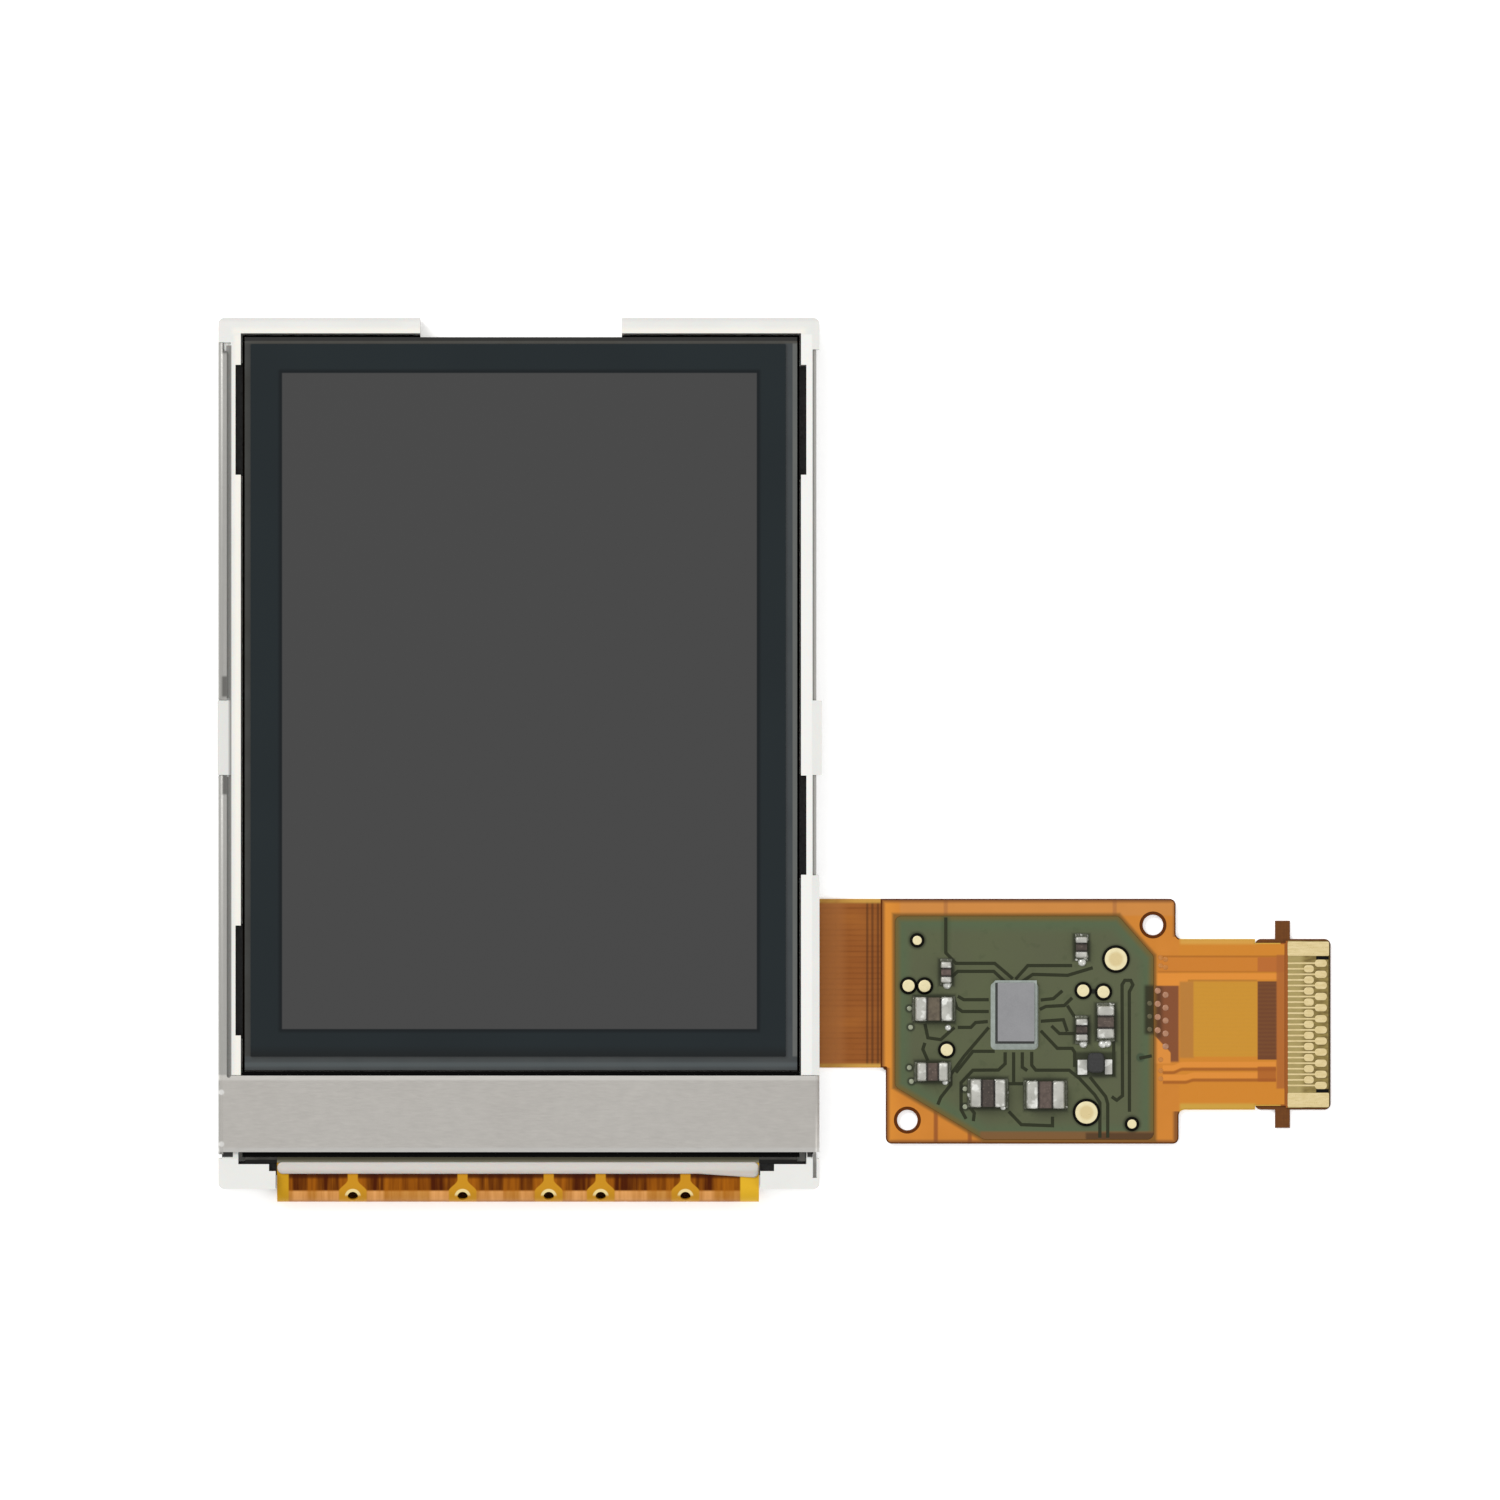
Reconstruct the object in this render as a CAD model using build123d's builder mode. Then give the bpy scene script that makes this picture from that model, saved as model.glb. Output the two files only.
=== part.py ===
"""Portrait colour display module with a folded flexible circuit and a contact tail.

The module lies on its back, screen up: +X runs towards the tail, +Y towards the top of the screen and
+Z out of the screen. The origin is the centre of the module's outline, on the back of its steel plate.
All sizes are in millimetres.
"""
from build123d import *

import os
from math import cos, radians, sin

os.makedirs("parts", exist_ok=True)

# Module outline, without the side clips
module_width = 38.16
module_length = 55.30

# Mould frame: walls from the outline to the glass pocket, and what they hold
left_wall = 1.43
right_wall = 1.17
top_wall = 0.98
bottom_block = 1.58
ledge_width = 1.30
bond_rail = 4.60
frame_corner = 0.38
glass_gap = 0.24
bottom_gap = 0.07
ledge_relief = (0.16, 0.34)
fold_gap = 0.08
nick_length = 0.44
left_nick = 0.50
right_nick = 0.96
frame_above_screen = 0.05
frame_fit = 0.03

# Notch in the top wall, pockets that relieve the side walls, and the side clips
notch_width = 12.80
notch_shift = 0.13
relief_depth = 0.34
relief_length = 6.98
upper_relief_drop = 2.00
lower_relief_rise = 2.55
clip_length = 4.80
clip_shift = 1.00
clip_proud_left = 0.05
clip_proud_right = 0.16
clip_base = 0.75
clip_bevel = 0.30

# Formed steel chassis
sheet_t = 0.20
bend_radius = 0.32
lip_width = 0.54
lip_groove = 0.25
wall_top_margin = 1.59
right_wall_top_margin = 2.04
strap_gap = 0.35
strap_end_gap = 0.70
wall_below_strap = 0.15
strap_leg_left = 1.20
strap_leg_right = 1.75
wall_tab_length = 1.45
wall_tab_top = 1.90
block_gap = 0.25
lip_notch = (0.24, 0.52)
rail_window = 12.75
relief_hole_r = 0.13

# Backlight stack
reflector_t = 0.08
guide_t = 0.60
diffuser_t = 0.07
prism_t = 0.06
rim_tape_t = 0.06
film_gap = 0.10
rim_tape_lap = 0.70
led_count = 4
led_length = 3.80
led_depth = 1.20
led_height = 0.60
led_flex_t = 0.10
led_mouth = (2.28, 0.30, 0.36)
led_strip_gap = 0.40
led_tab_width = 3.80
led_tab_gap = 0.30
led_tab_run = 0.50

# Display cell
rear_polariser_t = 0.14
glass_t = 0.40
cell_gap = 0.02
front_polariser_t = 0.16
chip_ledge = 5.90
polariser_left = 0.38
polariser_right = 0.73
polariser_bottom = 0.86
polariser_top = 0.44
border_left = 2.00
border_right = 1.84
border_bottom = 1.75
border_top = 1.84
rear_polariser_inset = 0.60

# On the ledge: the chip, its bond, the shield tape and the resin bead
bond_t = 0.02
chip_length = 19.00
chip_depth = 1.50
chip_t = 0.38
chip_from_cover = 1.10
shield_clearance = 0.03
shield_t = 0.05
shield_above_strap = 0.26
shield_below_strap = 0.32
bead_width = 0.76
bead_height = 0.14
bead_left_gap = 0.02
bead_right_gap = 0.02
bead_corner = 0.34
bead_sag = 0.26
bead_sag_length = 3.8
bead_edge = 0.12

# Flexible circuit
flex_t = 0.12
back_tape_t = 0.05
bond_length = 1.40
fold_width = 30.60
fold_shift = -0.06
fold_reach = 2.48
fold_hole_r = 0.33
fold_hole_angle = 50.0
fold_holes = (-10.55, -3.58, 1.89, 5.19, 10.57)
neck_length = 3.91
neck_width = 10.73
neck_top = -9.24
neck_bend = 0.98
cut_corner_x = -7.70
back_corner = 1.50
stiffener_t = 0.20

# Component board at the end of the neck
board_width = 18.73
board_length = 15.56
board_step = 0.31
board_foot = 0.19
board_corner = 0.38
locating_hole_r = 0.65
hole_from_right = 1.44
hole_from_top = 1.66
hole_from_left = 1.68
hole_from_bottom = 1.50
hole_land = 0.21
film_t = 0.03
cover_inset = 0.08
stiffener_inset = 0.15

# Green area of the board, measured from the board's edges
mask_left = 0.89
mask_top = 1.08
mask_right = 1.39
mask_bottom = 0.26
mask_gap = 0.02
mask_chamfer_x = 2.23
mask_chamfer_y = 2.54
mask_cut_x = 5.65
mask_cut_y = 3.35
mask_corner = 0.42

# Tail, contact tongue and its stiffener
tail_drop = 2.55
tail_width = 10.85
tail_length = 7.00
waist_length = 1.95
waist_cut = 0.25
tongue_length = 2.80
tongue_trim = 0.12
ear_width = 0.95
ear_reach = 1.16
ear_from_tip = 2.58
stiffener_lead = 4.80
stiffener_proud = 0.05

# Gold contacts
finger_count = 12
finger_pitch = 0.706
finger_width = 0.46
finger_length = 0.76
rear_finger_length = 0.62
finger_from_tip = 0.19
row_spacing = 0.76
finger_t = 0.02
line_width = 0.10
line_start = 0.12
end_land_width = 0.90
end_land_inset = 0.05
slot_width = 0.22
slot_length = 0.80
slot_from_tip = 0.07
slot_gap = 0.02

# Chips on the board: place from the board's centre, length, width, height and whether it stands upright
capacitors = (
    (-5.22, 3.11, 1.33, 0.62, 0.45, True),
    (-6.00, 0.78, 2.34, 1.46, 0.60, False),
    (-6.08, -3.21, 1.93, 1.12, 0.55, False),
    (-2.56, -4.57, 2.18, 1.72, 0.70, False),
    (1.09, -4.67, 2.37, 1.70, 0.70, False),
    (3.38, 4.70, 1.33, 0.70, 0.45, True),
    (3.40, -0.54, 1.40, 0.70, 0.45, True),
    (4.92, -0.05, 2.05, 1.02, 0.55, True),
)
terminal_share = 0.31
terminal_proud = 0.02
terminal_bevel = 0.05
joint_reach = 0.22
joint_side = 0.06
joint_height = 0.6
joint_knee = (0.3, 0.25)

# Backlight chip, the resin round it, the choke with its leads, and the round test pads
ic_place = (-0.78, 0.59)
ic_size = (2.33, 3.72)
ic_height = 0.38
underfill_place = (-0.88, 0.34)
underfill_size = (3.02, 4.28)
underfill_height = 0.26
underfill_corner = 0.30
choke_place = (4.30, -2.63)
choke_size = (1.06, 1.27)
choke_height = 0.50
choke_corner = 0.30
choke_bevel = 0.10
choke_leads = ((3.44, -2.92, 0.60, 0.94), (5.10, -2.90, 0.46, 0.94))
lead_t = 0.12
pad_t = 0.02
pad_ring = 0.17
small_pad_r = 0.385
small_pads = ((-7.61, 2.26), (-6.59, 2.24), (-5.18, -1.82), (3.49, 1.95), (4.78, 1.86))
tiny_pad_r = 0.29
tiny_pads = ((-7.06, 5.14), (6.59, -6.53))
large_pad_r = 0.71
large_pads = ((5.57, 3.95), (3.70, -5.80))
via_r = 0.13
via_proud = 0.01
vias = ((-7.55, 0.81), (-7.48, -0.38), (-7.43, -3.82), (-4.02, -4.30), (-4.02, -5.43))

# Gaps between the copper areas, where the green layer sinks: corner points from the board's centre
gap_width = 0.21
gap_depth = 0.015
copper_gaps = (
    ((-5.24, 6.60), (-5.24, 4.35), (-4.60, 3.68), (-2.13, 3.68), (-0.98, 2.70)),
    ((-4.83, 2.86), (-4.48, 3.17), (-2.19, 3.17), (-1.52, 2.54)),
    ((-0.81, 2.67), (-0.03, 3.54), (2.79, 3.54)),
    ((-0.41, 2.51), (0.29, 2.98), (2.51, 2.92), (4.10, 3.40)),
    ((-4.75, 1.49), (-4.54, 0.86), (-4.19, 0.62), (-2.51, 0.62)),
    ((-4.48, 1.59), (-4.10, 1.37), (-2.51, 1.37)),
    ((-2.57, -0.02), (-3.35, -0.08), (-3.65, -0.39), (-4.48, -0.39)),
    ((-2.51, -0.39), (-4.10, -2.25), (-4.92, -3.37), (-4.92, -4.03), (-5.56, -4.83), (-5.75, -5.30)),
    ((-2.13, -1.91), (-3.52, -1.91), (-4.60, -3.27)),
    ((-1.47, -1.97), (-1.47, -2.70), (-1.90, -3.10), (-3.52, -3.11), (-4.27, -3.91), (-4.27, -5.62),
     (-3.95, -6.20)),
    ((-0.93, -1.97), (-0.93, -3.97)),
    ((-0.38, -1.97), (-0.38, -2.92), (-0.06, -3.14)),
    ((-1.40, -3.97), (-0.10, -3.97)),
    ((-1.24, -5.73), (-0.44, -6.57), (1.54, -6.64), (1.54, -6.06)),
    ((0.22, -1.94), (0.22, -2.79), (0.48, -3.11), (2.60, -3.11), (3.24, -3.62), (4.22, -4.67),
     (4.55, -5.18), (4.55, -7.40)),
    ((3.92, -3.54), (4.92, -4.79), (5.05, -5.24), (5.05, -7.40)),
    ((0.79, -0.60), (1.85, -1.72), (2.79, -1.72), (2.95, -1.97), (2.95, -2.91)),
    ((1.47, -0.29), (1.98, -0.78), (2.95, -0.78)),
    ((0.73, 0.75), (1.11, 0.94), (2.29, 1.00), (2.79, 1.49)),
    ((2.48, 1.00), (2.92, 0.31)),
    ((0.79, 1.35), (1.60, 1.44), (2.17, 1.94)),
    ((0.79, 0.00), (2.23, 0.10), (2.48, -0.65)),
    ((5.30, -4.79), (5.62, -5.02), (5.99, -4.73), (5.96, 2.32), (6.13, 2.60), (6.51, 2.60),
     (6.65, 2.32), (6.42, 1.87), (6.43, -5.75)),
    ((5.43, -0.86), (5.43, -3.52)),
    ((7.06, -2.35), (7.85, -2.20)),
    ((-6.57, -0.16), (-6.38, -1.05), (-5.56, -1.17), (-4.69, -0.39)),
    ((-6.57, -1.37), (-6.70, -1.78), (-6.38, -2.51)),
    ((-3.84, -5.30), (-3.43, -5.84), (-3.49, -6.35)),
)


def inset(area, left, right, bottom, top):
    """Area (x0, x1, y0, y1) brought in by its own margin at each side."""
    x0, x1, y0, y1 = area
    return (x0 + left, x1 - right, y0 + bottom, y1 - top)


def slab(area, z0, z1, corner=0.0, mode=Mode.ADD):
    """Extrude an area from one height to another, with rounded corners if asked."""
    x0, x1, y0, y1 = area
    with BuildSketch(Plane.XY.offset(z0)) as outline:
        with Locations(((x0 + x1) / 2, (y0 + y1) / 2)):
            if corner > 0:
                RectangleRounded(x1 - x0, y1 - y0, corner)
            else:
                Rectangle(x1 - x0, y1 - y0)
    extrude(outline.sketch, amount=z1 - z0, mode=mode)


def plate(points, z0, z1, corner=0.0, mode=Mode.ADD):
    """Extrude a polygon from one height to another, with its corners rounded if asked."""
    with BuildSketch(Plane.XY.offset(z0)) as outline:
        with BuildLine():
            Polyline(*points, close=True)
        make_face()
        if corner > 0:
            fillet(outline.vertices(), radius=corner)
    extrude(outline.sketch, amount=z1 - z0, mode=mode)


def bores(places, radius, z0, z1, mode=Mode.SUBTRACT):
    """Round holes or discs of one radius between two heights."""
    with BuildSketch(Plane.XY.offset(z0)) as circles:
        with Locations(*places):
            Circle(radius)
    extrude(circles.sketch, amount=z1 - z0, mode=mode)


def block(place, size, z0, z1, corner=0.0, mode=Mode.ADD):
    """Rectangle of a given size about a place, extruded between two heights."""
    x, y = place
    slab((x - size[0] / 2, x + size[0] / 2, y - size[1] / 2, y + size[1] / 2), z0, z1, corner, mode)


def on_board(*places):
    """Places given from the board's centre, in the part's frame."""
    return [((board_left + board_right) / 2 + x, (board_top + board_bottom) / 2 + y) for x, y in places]


def board_outline(height, waist, margin=0.0):
    """Sketch of the board with its tail up to the waist, its free corners rounded, drawn in by a margin."""
    waist_x = tail_end - waist_length
    with BuildSketch(Plane.XY.offset(height)) as area:
        with BuildLine():
            Polyline(
                (board_left, board_top),
                (board_right, board_top),
                (board_right, tail_top),
                (waist_x, tail_top),
                (waist_x, tail_bottom),
                (board_right + board_foot, tail_bottom),
                (board_right + board_foot, board_bottom),
                (board_left + board_step, board_bottom),
                (board_left + board_step, neck_bottom),
                (board_left, neck_bottom),
                close=True,
            )
        make_face()
        free = area.vertices().filter_by_position(Axis.X, board_left + board_step / 2, waist_x - board_step)
        fillet(free.filter_by(lambda corner: corner.Y != neck_bottom), radius=board_corner)
        with Locations(((waist_x + tail_end) / 2, tail_middle)):
            Rectangle(waist_length, tail_width - 2 * waist)
        if margin > 0:
            offset(amount=-margin)
    return area.sketch


def cos_deg(angle):
    """Cosine of an angle in degrees."""
    return cos(radians(angle))


def sin_deg(angle):
    """Sine of an angle in degrees."""
    return sin(radians(angle))


def finish(piece, name):
    """Label a finished piece and write it."""
    piece.part.label = name
    export_step(piece.part, f"parts/{name}.step")


# Areas seen from above, each as (x0, x1, y0, y1)
outline = (-module_width / 2, module_width / 2, -module_length / 2, module_length / 2)
pocket = inset(outline, left_wall, right_wall, bottom_block, top_wall)
rear_glass = inset(pocket, glass_gap, glass_gap, bottom_gap, glass_gap)
cover_glass = inset(rear_glass, 0, 0, chip_ledge, 0)
polariser = inset(cover_glass, polariser_left, polariser_right, polariser_bottom, polariser_top)
picture = inset(polariser, border_left, border_right, border_bottom, border_top)
opening = inset(pocket, ledge_width, ledge_width, bond_rail, ledge_width)
guide = inset(opening, film_gap, film_gap, led_depth + 2 * film_gap, film_gap)
tape_window = inset(guide, rim_tape_lap, rim_tape_lap, rim_tape_lap, rim_tape_lap)
x_left, x_right, y_bottom, y_top = outline
glass_bottom = rear_glass[2]
glass_top = rear_glass[3]

# Heights, from the back of the steel plate up
z_reflector = sheet_t
z_guide = z_reflector + reflector_t
z_diffuser = z_guide + guide_t
z_lower_prism = z_diffuser + diffuser_t
z_upper_prism = z_lower_prism + prism_t
z_rim_tape = z_upper_prism + prism_t
z_rear_polariser = z_rim_tape + rim_tape_t
z_rear_glass = z_rear_polariser + rear_polariser_t
z_ledge = z_rear_glass + glass_t
z_cover_glass = z_ledge + cell_gap
z_front_polariser = z_cover_glass + glass_t
z_screen = z_front_polariser + front_polariser_t
z_frame_top = z_screen + frame_above_screen
z_chip = z_ledge + bond_t
z_shield = z_chip + chip_t + shield_clearance
z_strap = z_shield + shield_t
z_strap_top = z_strap + sheet_t

# Places of the strap and of the chassis walls
strap_top = cover_glass[2] - strap_gap
strap_bottom = glass_bottom + strap_end_gap
wall_bottom = strap_bottom - wall_below_strap
wall_top = y_top - wall_top_margin
right_wall_top = y_top - right_wall_top_margin
right_face = x_right - sheet_t
rail_top = strap_top + rail_window
clip_y = (clip_shift - clip_length / 2, clip_shift + clip_length / 2)

# Flexible circuit: heights, the fold and the tail's corner
z_flex_low = -back_tape_t - flex_t
z_flex_bond = z_ledge + bond_t
fold_radius = (z_flex_bond + flex_t - z_flex_low) / 2
fold_z = z_flex_low + fold_radius
fold_y = glass_bottom - fold_reach + fold_radius
fold_left = fold_shift - fold_width / 2
fold_right = fold_shift + fold_width / 2
rail_face = (fold_y + glass_bottom - bottom_gap) / 2
board_left = x_right + neck_length
board_right = board_left + board_width
board_top = neck_top
board_bottom = board_top - board_length
neck_bottom = neck_top - neck_width
z_board = z_flex_low + stiffener_t
z_film = z_board + flex_t
z_parts = z_film + film_t
tail_top = board_top - tail_drop
tail_bottom = tail_top - tail_width
tail_end = board_right + tail_length
tip = tail_end + tongue_length
tail_middle = (tail_top + tail_bottom) / 2
locating_holes = (
    (board_right - hole_from_right, board_top - hole_from_top),
    (board_left + hole_from_left, board_bottom + hole_from_bottom),
)

# Steel chassis: back plate, both side walls, left lip and the strap over the glass ledge.
# The strap's free end laps the outside of the right wall, where it is spot welded.
with BuildPart() as steel_chassis:
    with BuildSketch(Plane.XZ.offset(-wall_top)):
        with BuildLine():
            FilletPolyline(
                (right_face, z_strap),
                (right_face, 0),
                (x_left, 0),
                (x_left, z_strap_top),
                (x_left + lip_width, z_strap_top),
                radius=bend_radius,
            )
            offset(amount=sheet_t, side=Side.RIGHT)
        make_face()
    extrude(amount=wall_top - wall_bottom)
    with BuildSketch(Plane.XZ.offset(-strap_top)):
        with BuildLine():
            FilletPolyline(
                (x_left, z_strap_top - strap_leg_left),
                (x_left, z_strap_top),
                (x_right, z_strap_top),
                (x_right, z_strap_top - strap_leg_right),
                radius=bend_radius,
            )
            offset(amount=sheet_t, side=Side.RIGHT)
        make_face()
    extrude(amount=strap_top - strap_bottom)
    lip_edge = x_left + lip_width + relief_hole_r
    slab((lip_edge - lip_width, lip_edge, wall_bottom, strap_bottom), z_strap, z_strap_top,
         mode=Mode.SUBTRACT)
    bores([(x_left + lip_width + relief_hole_r, strap_top)], relief_hole_r, z_strap, z_strap_top)
    slab((x_left - sheet_t, x_left + lip_width + sheet_t, *clip_y), clip_base, z_strap_top,
         mode=Mode.SUBTRACT)
    notch_x, notch_y = lip_notch
    slab((x_left + lip_width - notch_x, x_left + lip_width, wall_top - notch_y, wall_top), z_strap, z_strap_top,
         mode=Mode.SUBTRACT)
    slab((right_face - 2 * sheet_t, right_face, *clip_y), clip_base, z_strap_top, mode=Mode.SUBTRACT)
    slab((right_face - 2 * sheet_t, right_face, strap_top + frame_fit, rail_top), sheet_t, z_strap_top,
         mode=Mode.SUBTRACT)
    slab((right_face - 2 * sheet_t, right_face, right_wall_top, wall_top), sheet_t, z_strap_top,
         mode=Mode.SUBTRACT)
    # Tab of the right wall that stands in a slit of the frame's corner block
    slab((right_face - sheet_t, right_face, wall_bottom - wall_tab_length, wall_bottom + frame_fit), bend_radius,
         wall_tab_top)
finish(steel_chassis, "steel_chassis")

# Mould frame: white moulding that carries the backlight, the glass and the clips
with BuildPart() as mould_frame:
    frame_left = x_left + sheet_t + frame_fit
    frame_right = right_face - sheet_t - frame_fit
    ridge_left = x_left + lip_width + lip_groove
    block_top = wall_bottom - block_gap
    slab(outline, 0, z_frame_top, corner=frame_corner)
    slab((x_left, x_right, block_top, wall_top + frame_fit), 0, sheet_t,
         mode=Mode.SUBTRACT)
    slab((x_left, frame_left, block_top, wall_top + frame_fit), 0, z_frame_top,
         mode=Mode.SUBTRACT)
    slab((x_left, ridge_left, block_top, wall_top + frame_fit), z_strap, z_frame_top,
         mode=Mode.SUBTRACT)
    slab((frame_right, x_right, rail_top - frame_fit, right_wall_top + frame_fit), 0, z_frame_top,
         mode=Mode.SUBTRACT)
    slab((frame_right, x_right, block_top, strap_top + frame_fit), 0, z_frame_top,
         mode=Mode.SUBTRACT)
    slab((x_left, x_right, block_top, strap_top + frame_fit), z_strap, z_frame_top,
         mode=Mode.SUBTRACT)
    # Pocket for the glass, wider beside the ledge, and the opening for the backlight
    slab(opening, 0, z_frame_top, mode=Mode.SUBTRACT)
    slab((pocket[0], pocket[1], opening[2], pocket[3]), z_rim_tape, z_frame_top, mode=Mode.SUBTRACT)
    slab((pocket[0] - ledge_relief[0], pocket[1] + ledge_relief[1], pocket[2], strap_top), z_rear_glass,
         z_frame_top, mode=Mode.SUBTRACT)
    # Gap for the folded circuit between the corner blocks, with a nick in each block, and the wall tab's slit
    fold_space = (fold_left - fold_gap, fold_right + fold_gap)
    slab((*fold_space, y_bottom, rail_face), 0, z_frame_top, mode=Mode.SUBTRACT)
    slab((*fold_space, rail_face, pocket[2]), z_rear_glass, z_frame_top, mode=Mode.SUBTRACT)
    slab((fold_left - left_nick, fold_right + right_nick, pocket[2] - nick_length, pocket[2]), z_rear_glass,
         z_frame_top, mode=Mode.SUBTRACT)
    slab((frame_right, right_face + frame_fit, wall_bottom - wall_tab_length - frame_fit, block_top), 0,
         z_frame_top, mode=Mode.SUBTRACT)
    # Notch in the top wall
    notch = (notch_shift - notch_width / 2, notch_shift + notch_width / 2)
    slab((*notch, glass_top, y_top), 0, z_frame_top, mode=Mode.SUBTRACT)
    # Pockets that relieve the side walls beside the glass
    upper_relief = (pocket[3] - upper_relief_drop - relief_length, pocket[3] - upper_relief_drop)
    lower_relief = (strap_top + lower_relief_rise, strap_top + lower_relief_rise + relief_length)
    for edge, span in (
        (pocket[0], upper_relief),
        (pocket[0], lower_relief),
        (pocket[1], upper_relief),
        (pocket[1], (rail_top, clip_y[0])),
    ):
        slab((edge - relief_depth, edge + relief_depth, *span), z_rim_tape, z_frame_top, mode=Mode.SUBTRACT)
    # Groove under the bond rail for the lamp circuit
    groove_half = led_tab_width / 2 + led_tab_gap
    slab((-groove_half, groove_half, rail_face, opening[2]), 0, sheet_t + 2 * led_flex_t, mode=Mode.SUBTRACT)
    # Edges relieved where they face the inside of the chassis bends
    for face_x in (frame_left, frame_right):
        facing = mould_frame.edges().filter_by(Axis.Y).filter_by_position(
            Axis.X, face_x - frame_fit / 2, face_x + frame_fit / 2
        )
        chamfer(facing.filter_by(lambda edge: edge.center().Z < z_strap + frame_fit),
                length=bend_radius - sheet_t)
    # Clips that stand in the notches of both chassis walls
    clip_area = (clip_y[0] + frame_fit, clip_y[1] - frame_fit)
    clip_bottom = clip_base + frame_fit
    slab((x_left - clip_proud_left, ridge_left, *clip_area), clip_bottom, z_frame_top)
    slab((frame_right, x_right + clip_proud_right, *clip_area), clip_bottom, z_frame_top)
    for clip_face in (x_left - clip_proud_left, x_right + clip_proud_right):
        outer = mould_frame.edges().filter_by(Axis.Y).filter_by_position(
            Axis.X, clip_face - frame_fit, clip_face + frame_fit
        )
        chamfer(outer.group_by(Axis.Z)[0], length=clip_bevel, length2=clip_bevel / 2)
finish(mould_frame, "mould_frame")

# Backlight: mirror sheet, light guide and three films, loose in the frame's opening
with BuildPart() as reflector_film:
    slab(guide, z_reflector, z_guide)
finish(reflector_film, "reflector_film")

with BuildPart() as light_guide:
    slab(guide, z_guide, z_diffuser)
finish(light_guide, "light_guide")

for film_name, film_bottom, film_top in (
    ("diffuser_film", z_diffuser, z_lower_prism),
    ("lower_prism_film", z_lower_prism, z_upper_prism),
    ("upper_prism_film", z_upper_prism, z_rim_tape),
):
    with BuildPart() as film:
        slab(guide, film_bottom, film_top)
    finish(film, film_name)

# Lamps at the lower edge of the light guide, each on its own place of the lamp circuit
z_led = sheet_t + led_flex_t
led_y = opening[2] + film_gap + led_depth / 2
led_pitch = (guide[1] - guide[0]) / led_count
for number in range(led_count):
    with BuildPart() as led:
        led_x = guide[0] + (number + 0.5) * led_pitch
        led_area = (led_x - led_length / 2, led_x + led_length / 2, led_y - led_depth / 2, led_y + led_depth / 2)
        slab(led_area, z_led, z_led + led_height)
        # Mouth of the lamp, which faces the light guide
        mouth_length, mouth_depth, mouth_height = led_mouth
        mouth_rim = (led_height - mouth_height) / 2
        slab((led_x - mouth_length / 2, led_x + mouth_length / 2, led_area[3] - mouth_depth, led_area[3]),
             z_led + mouth_rim, z_led + led_height - mouth_rim, mode=Mode.SUBTRACT)
    finish(led, f"led_{number + 1}")

# Lamp circuit: a strip under the lamps and a tab that steps down to the folded circuit
with BuildPart() as led_flex:
    strip = (guide[0] + led_strip_gap, guide[1] - led_strip_gap, opening[2] + film_gap / 2,
             guide[2] - film_gap / 2)
    slab(strip, sheet_t, z_led)
    tab_run = wall_bottom - frame_fit
    tab_end = rail_face - frame_fit
    with BuildSketch(Plane.YZ.offset(-led_tab_width / 2)):
        with BuildLine():
            FilletPolyline(
                (strip[2] + film_gap, sheet_t),
                (tab_run, sheet_t),
                (tab_run - led_tab_run, -back_tape_t),
                (tab_end, -back_tape_t),
                radius=led_flex_t,
            )
            offset(amount=led_flex_t, side=Side.RIGHT)
        make_face()
    extrude(amount=led_tab_width)
finish(led_flex, "led_flex")

# Black tape that holds the glass to the frame and masks the edge of the light
with BuildPart() as rim_tape:
    slab((pocket[0] + film_gap, pocket[1] - film_gap, opening[2], pocket[3] - film_gap), z_rim_tape,
         z_rear_polariser)
    slab(tape_window, z_rim_tape, z_rear_polariser, mode=Mode.SUBTRACT)
    slab((*notch, glass_top, y_top), z_rim_tape, z_rear_polariser, mode=Mode.SUBTRACT)
finish(rim_tape, "rim_tape")

# Display cell: rear polariser, rear glass with its ledge, the liquid crystal inside a black border,
# the front glass and the front polariser
with BuildPart() as rear_polariser:
    slab(inset(cover_glass, *[rear_polariser_inset] * 4), z_rear_polariser, z_rear_glass)
finish(rear_polariser, "rear_polariser")

with BuildPart() as tft_glass:
    slab(rear_glass, z_rear_glass, z_ledge)
finish(tft_glass, "tft_glass")

with BuildPart() as liquid_crystal_layer:
    slab(picture, z_ledge, z_cover_glass)
finish(liquid_crystal_layer, "liquid_crystal_layer")

with BuildPart() as black_border:
    slab(inset(cover_glass, polariser_left, polariser_left, polariser_left, polariser_left), z_ledge,
         z_cover_glass)
    slab(picture, z_ledge, z_cover_glass, mode=Mode.SUBTRACT)
finish(black_border, "black_border")

with BuildPart() as color_filter_glass:
    slab(cover_glass, z_cover_glass, z_front_polariser)
finish(color_filter_glass, "color_filter_glass")

with BuildPart() as front_polariser:
    slab(polariser, z_front_polariser, z_screen)
finish(front_polariser, "front_polariser")

# Display driver on the ledge, and the conductive film under it and under the end of the flexible circuit
chip_top = cover_glass[2] - chip_from_cover
chip_middle = (rear_glass[0] + rear_glass[1]) / 2
chip_area = (chip_middle - chip_length / 2, chip_middle + chip_length / 2, chip_top - chip_depth, chip_top)
bond_area = (fold_left, fold_right, glass_bottom, glass_bottom + bond_length)
with BuildPart() as driver_chip:
    slab(chip_area, z_chip, z_chip + chip_t)
finish(driver_chip, "driver_chip")

with BuildPart() as bond_film:
    slab(chip_area, z_ledge, z_chip)
    slab(bond_area, z_ledge, z_flex_bond)
finish(bond_film, "bond_film")

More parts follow.
